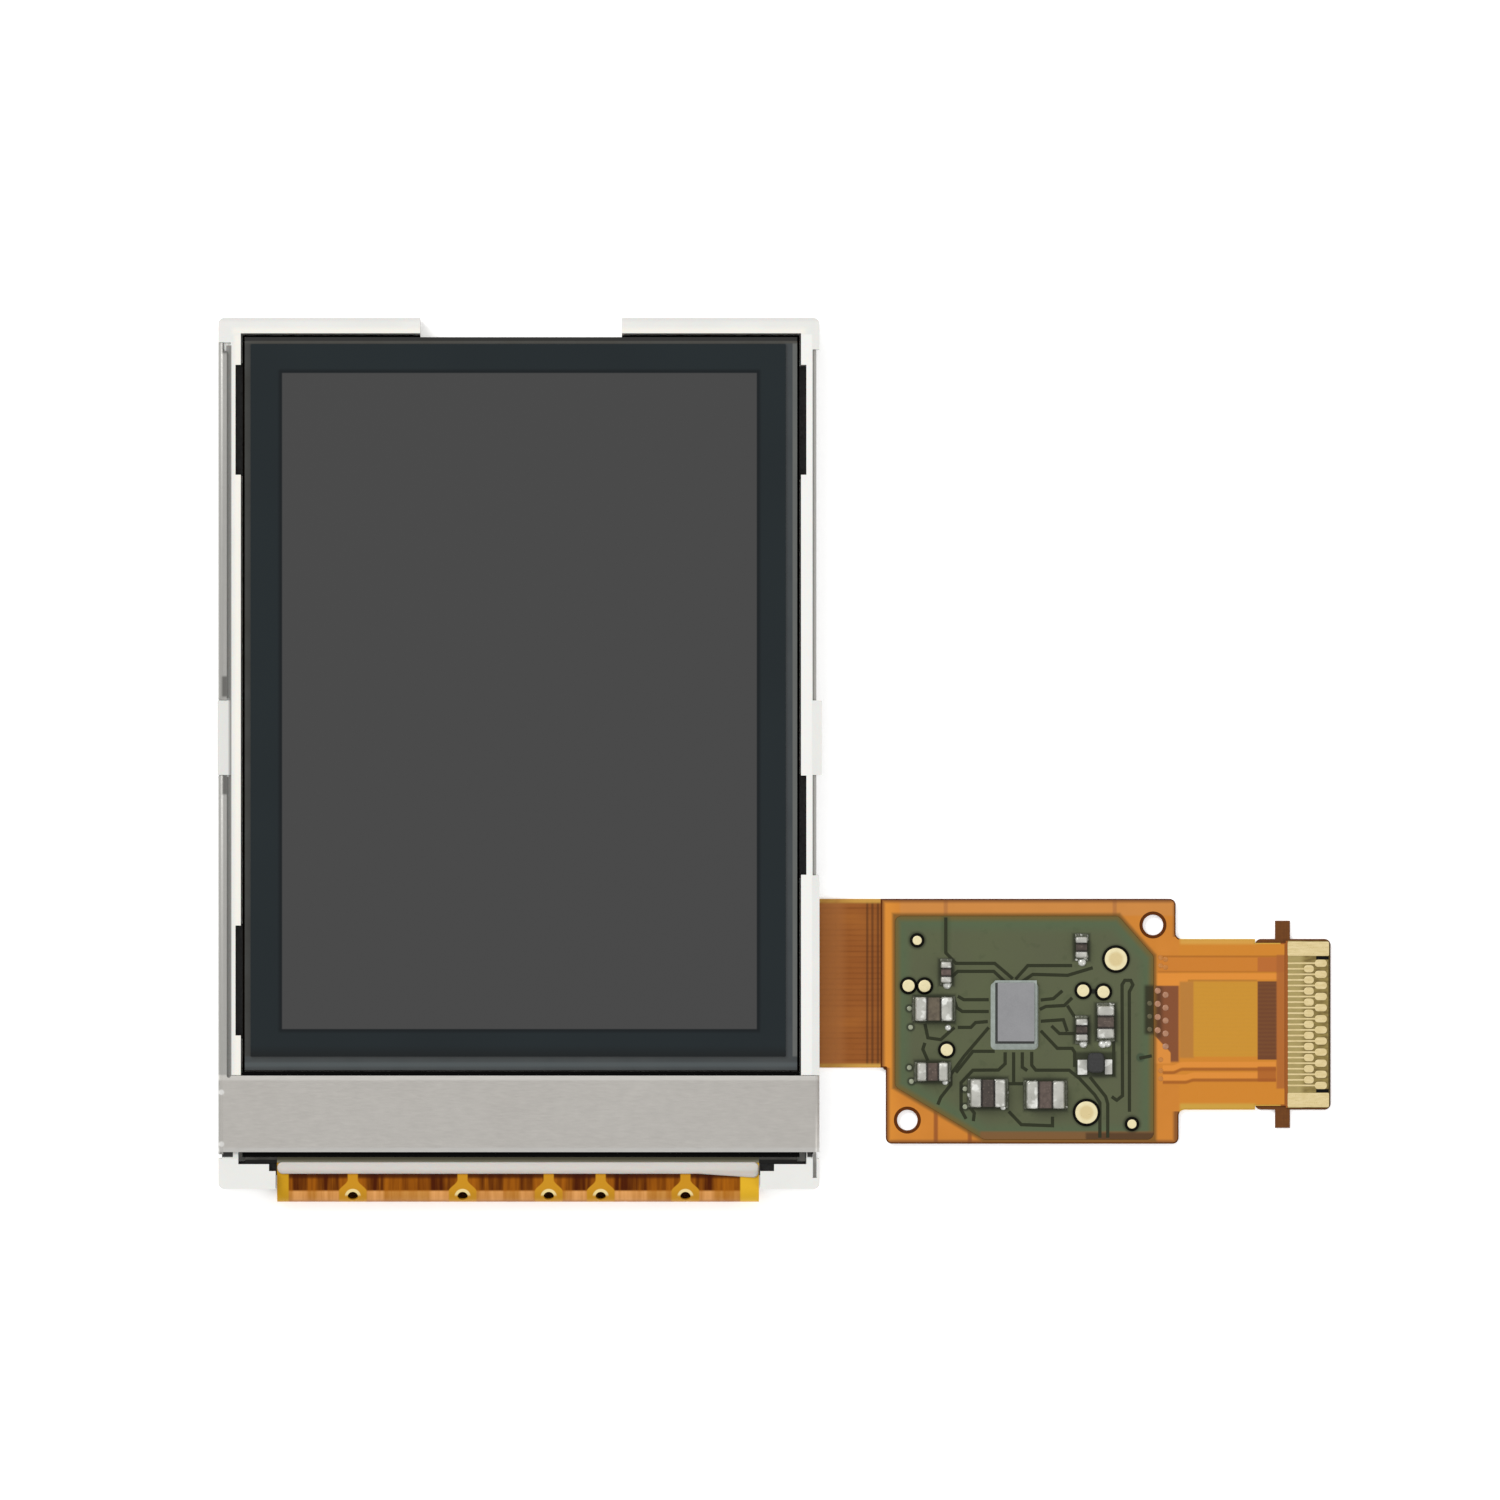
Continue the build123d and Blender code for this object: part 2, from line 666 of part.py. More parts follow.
# Black tape on the underside of the strap, over the chip
with BuildPart() as light_shield_tape:
    slab((pocket[0] + film_gap, pocket[1] - film_gap, strap_bottom - shield_below_strap,
          strap_top + shield_above_strap), z_shield, z_strap)
finish(light_shield_tape, "light_shield_tape")

# Main flexible circuit in one piece: bonded end, fold round the bottom edge, the flat part under the
# steel plate, the neck that rises to the board's level, the board, the tail and the contact tongue
with BuildPart() as flex_circuit:
    with BuildSketch(Plane.YZ.offset(fold_left)):
        with BuildLine():
            Line((glass_bottom + bond_length, z_flex_bond + flex_t), (fold_y, z_flex_bond + flex_t))
            CenterArc((fold_y, fold_z), fold_radius, 90, 180)
            Line((fold_y, z_flex_low), (glass_bottom, z_flex_low))
            offset(amount=flex_t, side=Side.LEFT)
        make_face()
    extrude(amount=fold_width)
    fold_hole_y = fold_y - fold_radius * cos_deg(fold_hole_angle)
    fold_hole_z = fold_z + fold_radius * sin_deg(fold_hole_angle)
    for hole_x in fold_holes:
        outward = (0, -cos_deg(fold_hole_angle), sin_deg(fold_hole_angle))
        with BuildSketch(Plane(origin=(hole_x, fold_hole_y, fold_hole_z), x_dir=(1, 0, 0), z_dir=outward)):
            Circle(fold_hole_r)
        extrude(amount=2 * flex_t, both=True, mode=Mode.SUBTRACT)
    plate(
        (
            (fold_left, fold_y),
            (fold_right, fold_y),
            (fold_right, neck_bottom),
            (x_right, neck_bottom),
            (x_right, neck_top),
            (cut_corner_x, neck_top),
            (fold_left, neck_bottom - film_gap),
        ),
        z_flex_low,
        z_flex_low + flex_t,
    )
    behind = flex_circuit.edges().filter_by(Axis.Z).filter_by_position(Axis.Z, z_flex_low, -back_tape_t)
    fillet(behind.filter_by(lambda edge: fold_y < edge.center().Y and edge.center().X < x_right - film_gap),
           radius=back_corner)
    with BuildSketch(Plane.XZ.offset(-neck_top)):
        with BuildLine():
            FilletPolyline(
                (x_right, z_flex_low),
                (x_right + neck_bend, z_flex_low),
                (board_left - neck_bend, z_board),
                (board_left, z_board),
                radius=neck_bend,
            )
            offset(amount=flex_t, side=Side.LEFT)
        make_face()
    extrude(amount=neck_width)
    extrude(board_outline(z_board, waist_cut), amount=flex_t)
    slab((tail_end, tip, tail_bottom + tongue_trim, tail_top - tongue_trim), z_board, z_film)
    fillet(flex_circuit.edges().filter_by(Axis.Z).group_by(Axis.X)[-1], radius=board_corner / 2)
    bores(locating_holes, locating_hole_r, z_board, z_film)
    # Slots between the end lands and the rows of pads
    slot_shift = end_land_inset + end_land_width + slot_gap
    for slot_y in (tail_bottom + tongue_trim + slot_shift, tail_top - tongue_trim - slot_shift - slot_width):
        slab((tip - slot_from_tip - slot_length, tip - slot_from_tip, slot_y, slot_y + slot_width), z_board,
             z_film, mode=Mode.SUBTRACT)
finish(flex_circuit, "flex_circuit")

# Resin bead over the bonded circuit, along the edge of the glass
with BuildPart() as sealant_bead:
    z_bead = z_flex_bond + flex_t
    bead_top = glass_bottom + bottom_gap
    bead_low = bead_top - bead_width
    bead_ends = (fold_left + bead_left_gap, fold_right - bead_right_gap)
    plate(
        [
            (bead_ends[0], bead_top),
            (bead_ends[0], bead_low),
            (bead_ends[1] - bead_sag_length, bead_low),
            (bead_ends[1], bead_low - bead_sag),
            (bead_ends[1], bead_top),
        ],
        z_bead,
        z_bead + bead_height,
        corner=bead_corner,
    )
    fillet(sealant_bead.edges().group_by(Axis.Z)[-1], radius=bead_edge)
finish(sealant_bead, "sealant_bead")

# Tape between the steel plate and the circuit folded under it
with BuildPart() as back_tape:
    slab((fold_left + ledge_width, fold_right - ledge_width, strap_bottom + film_gap, neck_bottom), -back_tape_t, 0)
    slab((cut_corner_x, right_face - ledge_width, neck_bottom, neck_top - film_gap), -back_tape_t, 0)
finish(back_tape, "back_tape")

# Plate under the component board
with BuildPart() as board_stiffener:
    plate(
        (
            (board_left + stiffener_inset, board_top - stiffener_inset),
            (board_right - stiffener_inset, board_top - stiffener_inset),
            (board_right - stiffener_inset, board_bottom + stiffener_inset),
            (board_left + board_step + stiffener_inset, board_bottom + stiffener_inset),
            (board_left + board_step + stiffener_inset, neck_bottom - stiffener_inset),
            (board_left + stiffener_inset, neck_bottom - stiffener_inset),
        ),
        z_flex_low,
        z_board,
        corner=stiffener_inset,
    )
    bores(locating_holes, locating_hole_r, z_flex_low, z_board)
finish(board_stiffener, "board_stiffener")

# Stiffener under the tongue, with an ear at each side that seats it in its connector
with BuildPart() as tongue_stiffener:
    stiffener_tip = tip + stiffener_proud
    slab((stiffener_tip - stiffener_lead, stiffener_tip, tail_bottom, tail_top), z_flex_low, z_board,
         corner=board_corner)
    ear_tip = stiffener_tip - ear_from_tip
    slab((ear_tip - ear_width, ear_tip, tail_bottom - ear_reach, tail_top + ear_reach), z_flex_low, z_board)
finish(tongue_stiffener, "tongue_stiffener")

# Orange cover film and the green layer that fills its opening round the components
mask_outline = (
    (board_left + mask_left, board_top - mask_top),
    (board_right - mask_right - mask_chamfer_x, board_top - mask_top),
    (board_right - mask_right, board_top - mask_top - mask_chamfer_y),
    (board_right - mask_right, board_bottom + mask_bottom),
    (board_left + mask_left + mask_cut_x, board_bottom + mask_bottom),
    (board_left + mask_left, board_bottom + mask_bottom + mask_cut_y),
)
with BuildPart() as board_coverlay:
    extrude(board_outline(z_film, waist_cut, cover_inset), amount=film_t)
    plate(mask_outline, z_film, z_parts, corner=mask_corner, mode=Mode.SUBTRACT)
    bores(locating_holes, locating_hole_r + hole_land, z_film, z_parts)
finish(board_coverlay, "board_coverlay")

with BuildPart() as solder_mask:
    with BuildSketch(Plane.XY.offset(z_film)) as green_area:
        with BuildLine():
            Polyline(*mask_outline, close=True)
        make_face()
        fillet(green_area.vertices(), radius=mask_corner)
        offset(amount=-mask_gap)
    extrude(amount=film_t)
    for corners in copper_gaps:
        with BuildSketch(Plane.XY.offset(z_parts - gap_depth)):
            with BuildLine():
                Polyline(*on_board(*corners))
            trace(line_width=gap_width)
        extrude(amount=gap_depth, mode=Mode.SUBTRACT)
    for pads, radius in ((small_pads, small_pad_r), (tiny_pads, tiny_pad_r), (large_pads, large_pad_r)):
        bores(on_board(*pads), radius + pad_ring, z_parts - gap_depth, z_parts)
    bores(on_board(*vias), via_r, z_parts, z_parts + via_proud, mode=Mode.ADD)
finish(solder_mask, "solder_mask")

with BuildPart() as test_pads:
    for pads, radius in ((small_pads, small_pad_r), (tiny_pads, tiny_pad_r), (large_pads, large_pad_r)):
        bores(on_board(*pads), radius, z_parts - gap_depth, z_parts - gap_depth + pad_t, mode=Mode.ADD)
finish(test_pads, "test_pads")

# Contact tongue: end lands, and two staggered rows of pads with their lines
tongue_top = tail_top - tongue_trim
tongue_bottom = tail_bottom + tongue_trim
front_pad = (tip - finger_from_tip - finger_length, tip - finger_from_tip)
rear_middle = (front_pad[0] + front_pad[1]) / 2 - row_spacing
rear_pad = (rear_middle - rear_finger_length / 2, rear_middle + rear_finger_length / 2)
with BuildPart() as contact_fingers:
    for number in range(2 * finger_count - 1):
        finger_y = tail_middle + (number - finger_count + 1) * finger_pitch / 2
        pad = rear_pad if number % 2 else front_pad
        slab((*pad, finger_y - finger_width / 2, finger_y + finger_width / 2), z_film, z_film + finger_t)
        slab((tail_end + line_start, pad[0], finger_y - line_width / 2, finger_y + line_width / 2), z_film,
             z_film + finger_t)
    for land_y in (tongue_bottom + end_land_inset, tongue_top - end_land_inset - end_land_width):
        slab((tail_end + line_start, tip - end_land_inset, land_y, land_y + end_land_width), z_film,
             z_film + finger_t)
finish(contact_fingers, "contact_fingers")


# Chip capacitors: a ceramic body between two tinned ends, and the solder under each end
def component_frame(place, upright):
    """Plane on the board at a component's centre, with its length along the local X axis."""
    centre = on_board(place)[0]
    return Plane(origin=(*centre, z_parts), x_dir=(0, 1, 0) if upright else (1, 0, 0), z_dir=(0, 0, 1))


for number, (x, y, length, width, height, upright) in enumerate(capacitors):
    body_length = length * (1 - 2 * terminal_share)
    with BuildPart() as capacitor:
        with BuildSketch(component_frame((x, y), upright)):
            Rectangle(body_length, width)
        extrude(amount=height)
    finish(capacitor, f"capacitor_{number + 1}")

with BuildPart() as capacitor_terminals:
    for x, y, length, width, height, upright in capacitors:
        end_length = length * terminal_share
        with BuildSketch(component_frame((x, y), upright)):
            with Locations(((length - end_length) / 2, 0), ((end_length - length) / 2, 0)):
                Rectangle(end_length, width + 2 * terminal_proud)
        extrude(amount=height + terminal_proud)
    chamfer(capacitor_terminals.edges().filter_by(Axis.Z), length=terminal_bevel)
finish(capacitor_terminals, "capacitor_terminals")

with BuildPart() as solder_joints:
    for x, y, length, width, height, upright in capacitors:
        seat = component_frame((x, y), upright)
        half = length / 2
        for end in (-1, 1):
            # Fillet of solder against the outer face of the terminal
            with BuildSketch(Plane(origin=seat.origin, x_dir=seat.x_dir, z_dir=-seat.y_dir)):
                with BuildLine():
                    Polyline(
                        (end * half, 0),
                        (end * (half + joint_reach), 0),
                        (end * (half + joint_knee[0] * joint_reach), joint_knee[1] * height),
                        (end * half, joint_height * height),
                        close=True,
                    )
                make_face()
            extrude(amount=width / 2 + joint_side, both=True)
finish(solder_joints, "solder_joints")

# Backlight chip, the resin round its foot, and the choke with its leads
ic_centre, underfill_centre, choke_centre = on_board(ic_place, underfill_place, choke_place)
with BuildPart() as backlight_ic:
    block(ic_centre, ic_size, z_parts, z_parts + ic_height)
finish(backlight_ic, "backlight_ic")

with BuildPart() as ic_underfill:
    with BuildSketch(Plane.XY.offset(z_parts)):
        with Locations(underfill_centre):
            RectangleRounded(*underfill_size, underfill_corner)
    with BuildSketch(Plane.XY.offset(z_parts + underfill_height)):
        with Locations(ic_centre):
            Rectangle(ic_size[0] + underfill_corner, ic_size[1] + underfill_corner)
    loft()
    block(ic_centre, ic_size, z_parts, z_parts + ic_height, mode=Mode.SUBTRACT)
finish(ic_underfill, "ic_underfill")

with BuildPart() as choke:
    block(choke_centre, choke_size, z_parts, z_parts + choke_height, corner=choke_corner)
    chamfer(choke.edges().group_by(Axis.Z)[-1], length=choke_bevel)
finish(choke, "choke")

with BuildPart() as choke_terminals:
    for x, y, *lead_size in choke_leads:
        block(on_board((x, y))[0], lead_size, z_parts, z_parts + lead_t)
    block(choke_centre, choke_size, z_parts, z_parts + choke_height, corner=choke_corner, mode=Mode.SUBTRACT)
finish(choke_terminals, "choke_leads")
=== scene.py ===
"""Dresses the display module: finishes for the modelled parts, and small pieces that are too fine for CAD.

Everything is in metres in the part's own frame. Finishes read their place on the part in millimetres.
"""

import bmesh
import bpy
from math import cos, pi, radians, sin
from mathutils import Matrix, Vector


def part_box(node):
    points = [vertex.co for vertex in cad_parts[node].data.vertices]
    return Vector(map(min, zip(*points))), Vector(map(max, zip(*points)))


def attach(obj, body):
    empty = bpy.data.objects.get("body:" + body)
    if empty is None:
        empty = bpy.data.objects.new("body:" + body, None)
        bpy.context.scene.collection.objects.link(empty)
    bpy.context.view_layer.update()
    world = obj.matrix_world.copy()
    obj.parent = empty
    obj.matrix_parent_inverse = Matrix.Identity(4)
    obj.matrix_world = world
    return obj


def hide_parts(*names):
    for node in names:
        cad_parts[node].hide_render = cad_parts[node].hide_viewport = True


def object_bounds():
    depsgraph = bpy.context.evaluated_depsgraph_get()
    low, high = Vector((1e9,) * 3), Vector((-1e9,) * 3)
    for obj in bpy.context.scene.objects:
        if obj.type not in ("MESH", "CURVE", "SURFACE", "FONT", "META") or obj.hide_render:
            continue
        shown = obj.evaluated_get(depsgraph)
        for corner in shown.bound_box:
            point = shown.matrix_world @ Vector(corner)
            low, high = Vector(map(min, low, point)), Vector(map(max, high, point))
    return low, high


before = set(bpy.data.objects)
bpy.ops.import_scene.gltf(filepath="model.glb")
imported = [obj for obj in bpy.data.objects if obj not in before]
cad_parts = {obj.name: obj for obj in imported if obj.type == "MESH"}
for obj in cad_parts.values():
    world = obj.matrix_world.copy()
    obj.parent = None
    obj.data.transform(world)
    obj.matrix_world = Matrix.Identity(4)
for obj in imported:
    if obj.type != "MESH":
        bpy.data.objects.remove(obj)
cad_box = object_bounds()

# Steel chassis: one sheet of 0.2 mm nickel-plated steel, blanked and folded into a tray with a strap over the
# glass ledge. The plating is satin, with a fine rolled grain along the strap and painted highlights along its
# edges.
MM = 0.001


def tint(code, strength=0.845):
    """Scene colour of a swatch of six hex digits, brought down to what the bright studio light needs."""
    parts = [int(code[i : i + 2], 16) / 255 for i in (0, 2, 4)]
    return [(p / 12.92 if p < 0.04045 else ((p + 0.055) / 1.055) ** 2.4) * strength for p in parts] + [1.0]


class Finish:
    """One surface finish: colour layers laid over each other by masks, in the part's own millimetres."""

    def __init__(self, name, colour, roughness=0.5, metallic=0.0, **sockets):
        self.material = bpy.data.materials.new(name)
        self.material.use_nodes = True
        self.tree = self.material.node_tree
        self.shader = self.tree.nodes["Principled BSDF"]
        self.shader.inputs["Base Color"].default_value = tint(colour)
        self.shader.inputs["Roughness"].default_value = roughness
        self.shader.inputs["Metallic"].default_value = metallic
        for socket, value in sockets.items():
            self.shader.inputs[socket.replace("_", " ")].default_value = value
        self.top = tint(colour)
        place = self.add("TexCoord").outputs["Object"]
        self.place = self.add("VectorMath", place, operation="SCALE", Scale=1 / MM).outputs[0]
        split = self.add("SeparateXYZ", self.place).outputs
        self.x, self.y, self.z = split[0], split[1], split[2]

    def add(self, kind, *feeds, **settings):
        """New node, fed in order; settings name its own properties or its inputs."""
        node = self.tree.nodes.new("ShaderNode" + kind)
        for name, value in settings.items():
            if hasattr(node, name):
                setattr(node, name, value)
        for name, value in settings.items():
            if not hasattr(node, name):
                self.feed(node.inputs[name.replace("_", " ")], value)
        for number, value in enumerate(feeds):
            self.feed(node.inputs[number], value)
        return node

    def feed(self, socket, value):
        """Links a socket to another one, or sets it to a plain value."""
        if isinstance(value, bpy.types.NodeSocket):
            self.tree.links.new(value, socket)
        else:
            socket.default_value = value

    def maths(self, operation, a, b=0.0):
        """One step of arithmetic on two values."""
        return self.add("Math", a, b, operation=operation).outputs[0]

    def least(self, *values):
        """Smallest of several values."""
        smallest = values[0]
        for value in values[1:]:
            smallest = self.maths("MINIMUM", smallest, value)
        return smallest

    def reach(self, x, y):
        """Distance from a place seen from above."""
        off = self.add("CombineXYZ", self.maths("SUBTRACT", self.x, x), self.maths("SUBTRACT", self.y, y))
        return self.add("VectorMath", off.outputs[0], operation="LENGTH").outputs["Value"]

    def beyond(self, start, end):
        """Distance to the left of the line from one place to another."""
        (x0, y0), (x1, y1) = start, end
        length = ((x1 - x0) ** 2 + (y1 - y0) ** 2) ** 0.5
        across = self.maths("MULTIPLY", self.maths("SUBTRACT", self.x, x0), (y0 - y1) / length)
        along = self.maths("MULTIPLY", self.maths("SUBTRACT", self.y, y0), (x1 - x0) / length)
        return self.maths("ADD", across, along)

    def ramp(self, value, low, high, start=0.0, end=1.0):
        """Smooth step of a value between two limits."""
        return self.add("MapRange", value, low, high, start, end, interpolation_type="SMOOTHSTEP").outputs[0]

    def band(self, value, low, high, soft=0.06):
        """1 between two places, 0 outside them."""
        rise = self.ramp(value, low - soft / 2, low + soft / 2)
        fall = self.ramp(value, high - soft / 2, high + soft / 2, 1.0, 0.0)
        return self.maths("MULTIPLY", rise, fall)

    def patch(self, x0, x1, y0, y1, soft=0.06):
        """1 inside a rectangle seen from above."""
        return self.maths("MULTIPLY", self.band(self.x, x0, x1, soft), self.band(self.y, y0, y1, soft))

    def noise(self, scale, stretch=(1, 1, 1), detail=2.0, low=0.0, high=1.0):
        """Even cloud of 0 to 1, so many grains to the millimetre, brought between two values."""
        where = self.add("VectorMath", self.place, tuple(stretch), operation="MULTIPLY").outputs[0]
        cloud = self.add("TexNoise", where, Scale=scale, Detail=detail).outputs[0]
        return self.add("MapRange", cloud, 0.3, 0.7, low, high).outputs[0]

    def lay(self, mask, colour, amount=1.0):
        """Lays a colour over what is there, where the mask is 1."""
        if amount != 1.0:
            mask = self.maths("MULTIPLY", mask, amount)
        mix = self.add("Mix", data_type="RGBA")
        # The mix node has sockets for other kinds of value too: 6, 7 and output 2 are its colours
        self.feed(mix.inputs[0], mask)
        self.feed(mix.inputs[6], self.top)
        self.feed(mix.inputs[7], tint(colour) if isinstance(colour, str) else colour)
        self.top = mix.outputs[2]
        self.feed(self.shader.inputs["Base Color"], self.top)
        return self

    def rough(self, value):
        """Roughness that varies over the surface."""
        self.feed(self.shader.inputs["Roughness"], value)
        return self

    def bump(self, height, depth):
        """Relief from a height of 0 to 1, its depth in millimetres."""
        node = self.add("Bump", Height=height, Distance=depth * MM, Strength=1.0)
        self.feed(self.shader.inputs["Normal"], node.outputs[0])
        return self

    def on(self, *nodes):
        """Puts the finish on modelled nodes, or on pieces made here."""
        for item in nodes:
            mesh = (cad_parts[item] if isinstance(item, str) else item).data
            mesh.materials.clear()
            mesh.materials.append(self.material)
        return self


def soften(node, width):
    """Breaks the sharp edges of a modelled part by a small width in millimetres."""
    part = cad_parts[node]
    weld = part.modifiers.new("joined_edges", "WELD")
    weld.merge_threshold = 0.002 * MM
    edge = part.modifiers.new("broken_edges", "BEVEL")
    edge.width = width * MM
    edge.segments = 2
    edge.limit_method = "ANGLE"
    edge.angle_limit = radians(50)


nickel = Finish("satin_nickel", "c6c2bc", roughness=0.42, metallic=0.7)
nickel.lay(nickel.noise(5, stretch=(0.3, 3, 1)), "bab6b0", 0.5)
nickel.lay(nickel.noise(0.25, detail=1.0), "cbc8c2", 0.35)
nickel.lay(nickel.noise(1.3), "b4b1ac", 0.22)
# Painted shade: the plating darkens below the strap's top face
nickel.lay(nickel.ramp(nickel.z, 2.28, 2.1), "a9a8a4", 0.8)
# Painted shade on the lip and the left wall, painted highlights along the long edges of the strap, and two
# painted glints where it bends
front = nickel.ramp(nickel.z, 1.6, 1.8)
nickel.lay(nickel.patch(-19.2, -18.5, -20.5, 27, 0.1), "aeada9", 0.85)
nickel.lay(nickel.maths("MULTIPLY", front, nickel.band(nickel.x, -19.2, -18.95, 0.08)), "a4a39e", 0.8)
strap_edge_highlights = ((-20.74, -20.4, "dad7d1"), (-25.32, -25.02, "cccac6"))
for low, high, code in strap_edge_highlights:
    nickel.lay(nickel.maths("MULTIPLY", front, nickel.band(nickel.y, low, high, 0.14)), code, 0.75)
bend_glints = (-21.5, -24.8)
for glint_y in bend_glints:
    glint = nickel.ramp(nickel.reach(-18.88, glint_y), 0.24, 0.1)
    nickel.lay(nickel.maths("MULTIPLY", front, glint), "f2f1ee", 0.8)
# More painted shade on the lower faces
nickel.lay(nickel.ramp(nickel.z, 1.9, 1.2), "8f8d88", 0.35)
# Shade where the lip ends and beside the clip
lip_shades = ((3.6, 4.9), (-2.6, -1.2), (25.4, 26.2))
for low, high in lip_shades:
    nickel.lay(nickel.maths("MULTIPLY", front, nickel.patch(-18.84, -18.5, low, high, 0.2)), "4e4d4a", 0.75)
nickel.rough(nickel.noise(7, stretch=(0.25, 2.5, 1), low=0.36, high=0.5))
nickel.bump(nickel.noise(11, stretch=(0.3, 3, 1)), 0.0012)
nickel.on("steel_chassis")
soften("steel_chassis", 0.03)

# Mould frame: white moulded polycarbonate that carries the glass and the backlight. It has a painted warm
# glow along the glass pocket, and its ribs and clips are fine matte.
white = Finish("white_moulding", "e6e6e2", roughness=0.48, Subsurface_Weight=0.08, Subsurface_Scale=0.0006)
white.lay(white.noise(0.35), "dddeda", 0.5)
# Painted warm glow along the left rib and the top of the pocket
painted_glow = white.maths("MAXIMUM", white.patch(-18.05, -17.6, -25, 26.6, 0.3),
                   white.patch(-18.2, 18.2, 26.62, 27.0, 0.4))
white.lay(painted_glow, "f1ede3", 0.85)
# Painted highlight along the right rib
white.lay(white.patch(17.9, 18.6, -25, 26.6, 0.1), "f1f0ec", 0.8)
clips = white.patch(-19.3, 19.4, -1.5, 3.5, 0.05)
# Painted shadow in the gap beside the left wall, kept light at the clips
white.lay(white.patch(-18.58, -18.24, -25.2, 25.9, 0.06), "807f7b", 0.9)
white.lay(white.maths("MULTIPLY", clips, white.ramp(white.x, -18.3, -18.5)), "dcdcd8")
# Painted shade on the lower faces and on the rounded outer top edge
white.lay(white.ramp(white.z, 2.0, 1.1), "a5a39b", 0.7)
white.lay(white.ramp(white.y, 27.3, 27.6), "d8d8d5", 0.8)
# Relief pockets of the side walls and gaps round the corner blocks, painted black as deep shade where they go
# down
deep_shade = white.band(white.z, 0.6, 1.8, 0.3)
shaded_hollows = ((-18.3, -17.5, 17.6, 24.8), (-18.3, -17.5, -18.1, -10.8), (17.7, 18.5, 17.4, 24.6),
           (17.7, 18.5, -7.9, -1.3), (-19.1, -18.25, -25.7, -25.2), (18.2, 19.0, -25.7, -25.2),
           (-17.9, -15.3, -26.6, -25.9), (15.3, 18.2, -26.6, -25.9))
for x0, x1, y0, y1 in shaded_hollows:
    white.lay(white.maths("MULTIPLY", deep_shade, white.patch(x0, x1, y0, y1, 0.04)), "0c0a08")
# The gap between the strap and the corner blocks is in deep shade
shaded = white.band(white.z, 1.9, 2.2, 0.04)
corner_gaps = ((-19.1, -18.15), (18.3, 19.1))
for x0, x1 in corner_gaps:
    white.lay(white.maths("MULTIPLY", shaded, white.patch(x0, x1, -25.62, -25.2, 0.06)), "0c0a08")
white.rough(white.noise(6, low=0.42, high=0.56))
white.bump(white.noise(9, detail=3.0), 0.0015)
white.on("mould_frame")
soften("mould_frame", 0.05)

# Backlight: mirror sheet, clear light guide, three loose films and the lamps with their own small circuit.
# They lie closed in under the glass, so only their edges ever show.
mirror = Finish("mirror_sheet", "e8ebee", roughness=0.12, metallic=1.0)
mirror.lay(mirror.noise(0.4), "d5dade", 0.4).on("reflector_film")
guide = Finish("clear_guide", "e6eef0", roughness=0.08)
guide.lay(guide.ramp(guide.y, -18, 24), "f2f5f5", 0.6)
dots = guide.add("TexVoronoi", guide.place, Scale=2.2).outputs[0]
guide.lay(guide.ramp(dots, 0.22, 0.15), "ffffff", 0.5).on("light_guide")
film = Finish("backlight_film", "dfe4e8", roughness=0.3)
ridges = film.maths("PINGPONG", film.maths("MULTIPLY", film.y, 8.0), 0.5)
film.lay(ridges, "f4f7f8", 0.5).bump(ridges, 0.01)
film.on("diffuser_film", "lower_prism_film", "upper_prism_film")
lamp = Finish("lamp_housing", "efece2", roughness=0.4)
lamp.lay(lamp.noise(3), "e2ddcc", 0.4)
lamp.on("led_1", "led_2", "led_3", "led_4")
amber = Finish("amber_film", "c98a2a", roughness=0.3)
amber.lay(amber.band(amber.maths("PINGPONG", amber.y, 0.4), 0.1, 0.3, 0.05), "a0601c", 0.8).on("led_flex")

# Black tapes: the rim tape that holds the glass and stops stray light, and the shield tape under the strap.
# Thin black polyester with a matt face and the faint weave of its adhesive.
tape = Finish("black_tape", "040404", roughness=0.8, Specular_IOR_Level=0.04)
tape.lay(tape.noise(8), "0b0a09", 0.6)
tape.lay(tape.patch(-18, -17.3, -20, 26.5, 0.1), "1b130c", 0.8)
tape.bump(tape.noise(14), 0.002)
tape.on("rim_tape", "light_shield_tape")

# Display cell: two sheets of glass with the liquid crystal and the printed black border between them. The
# margins of the glass look dark olive over the tape, with a painted highlight line at their ground edges.
ledge = Finish("rear_glass", "524f49", roughness=0.12, Specular_IOR_Level=0.2)
ledge.lay(ledge.noise(0.8, stretch=(1, 3, 1), low=0.1, high=0.9), "83817a", 0.85)
ledge.lay(ledge.ramp(ledge.y, -25.74, -25.84), "0d0c09", 0.95)
ledge.on("tft_glass")
cover = Finish("front_glass", "2b2b27", roughness=0.07)
# Right, top and bottom margins beside the polariser, and the dark line of the upper edge
cover.lay(cover.ramp(cover.x, 16.75, 16.95), "32383b")
# Painted highlight line along the right ground edge
cover.lay(cover.ramp(cover.x, 17.33, 17.42), "5d5f5c")
cover.lay(cover.ramp(cover.y, 25.95, 26.1), "413f38")
cover.lay(cover.ramp(cover.y, -19.15, -19.3), "34393a")
# Painted highlight line near the bottom ground edge
cover.lay(cover.band(cover.y, -19.9, -19.6, 0.2), "495153", 0.7)
cover.lay(cover.noise(0.6, low=0.0, high=0.5), "4c5050", 0.4)
cover.lay(cover.ramp(cover.y, 26.14, 26.22), "0c0b08", 0.9)
cover.on("color_filter_glass")
soften("color_filter_glass", 0.03)
cell = Finish("cell_fill", "1c1c1e", roughness=0.3)
pixels = cell.maths("PINGPONG", cell.maths("MULTIPLY", cell.x, 8.0), 0.5)
cell.lay(pixels, "34343a", 0.6).on("liquid_crystal_layer")
print_black = Finish("printed_border", "121418", roughness=0.35)
print_black.lay(print_black.noise(2), "1d2024", 0.5).on("black_border")

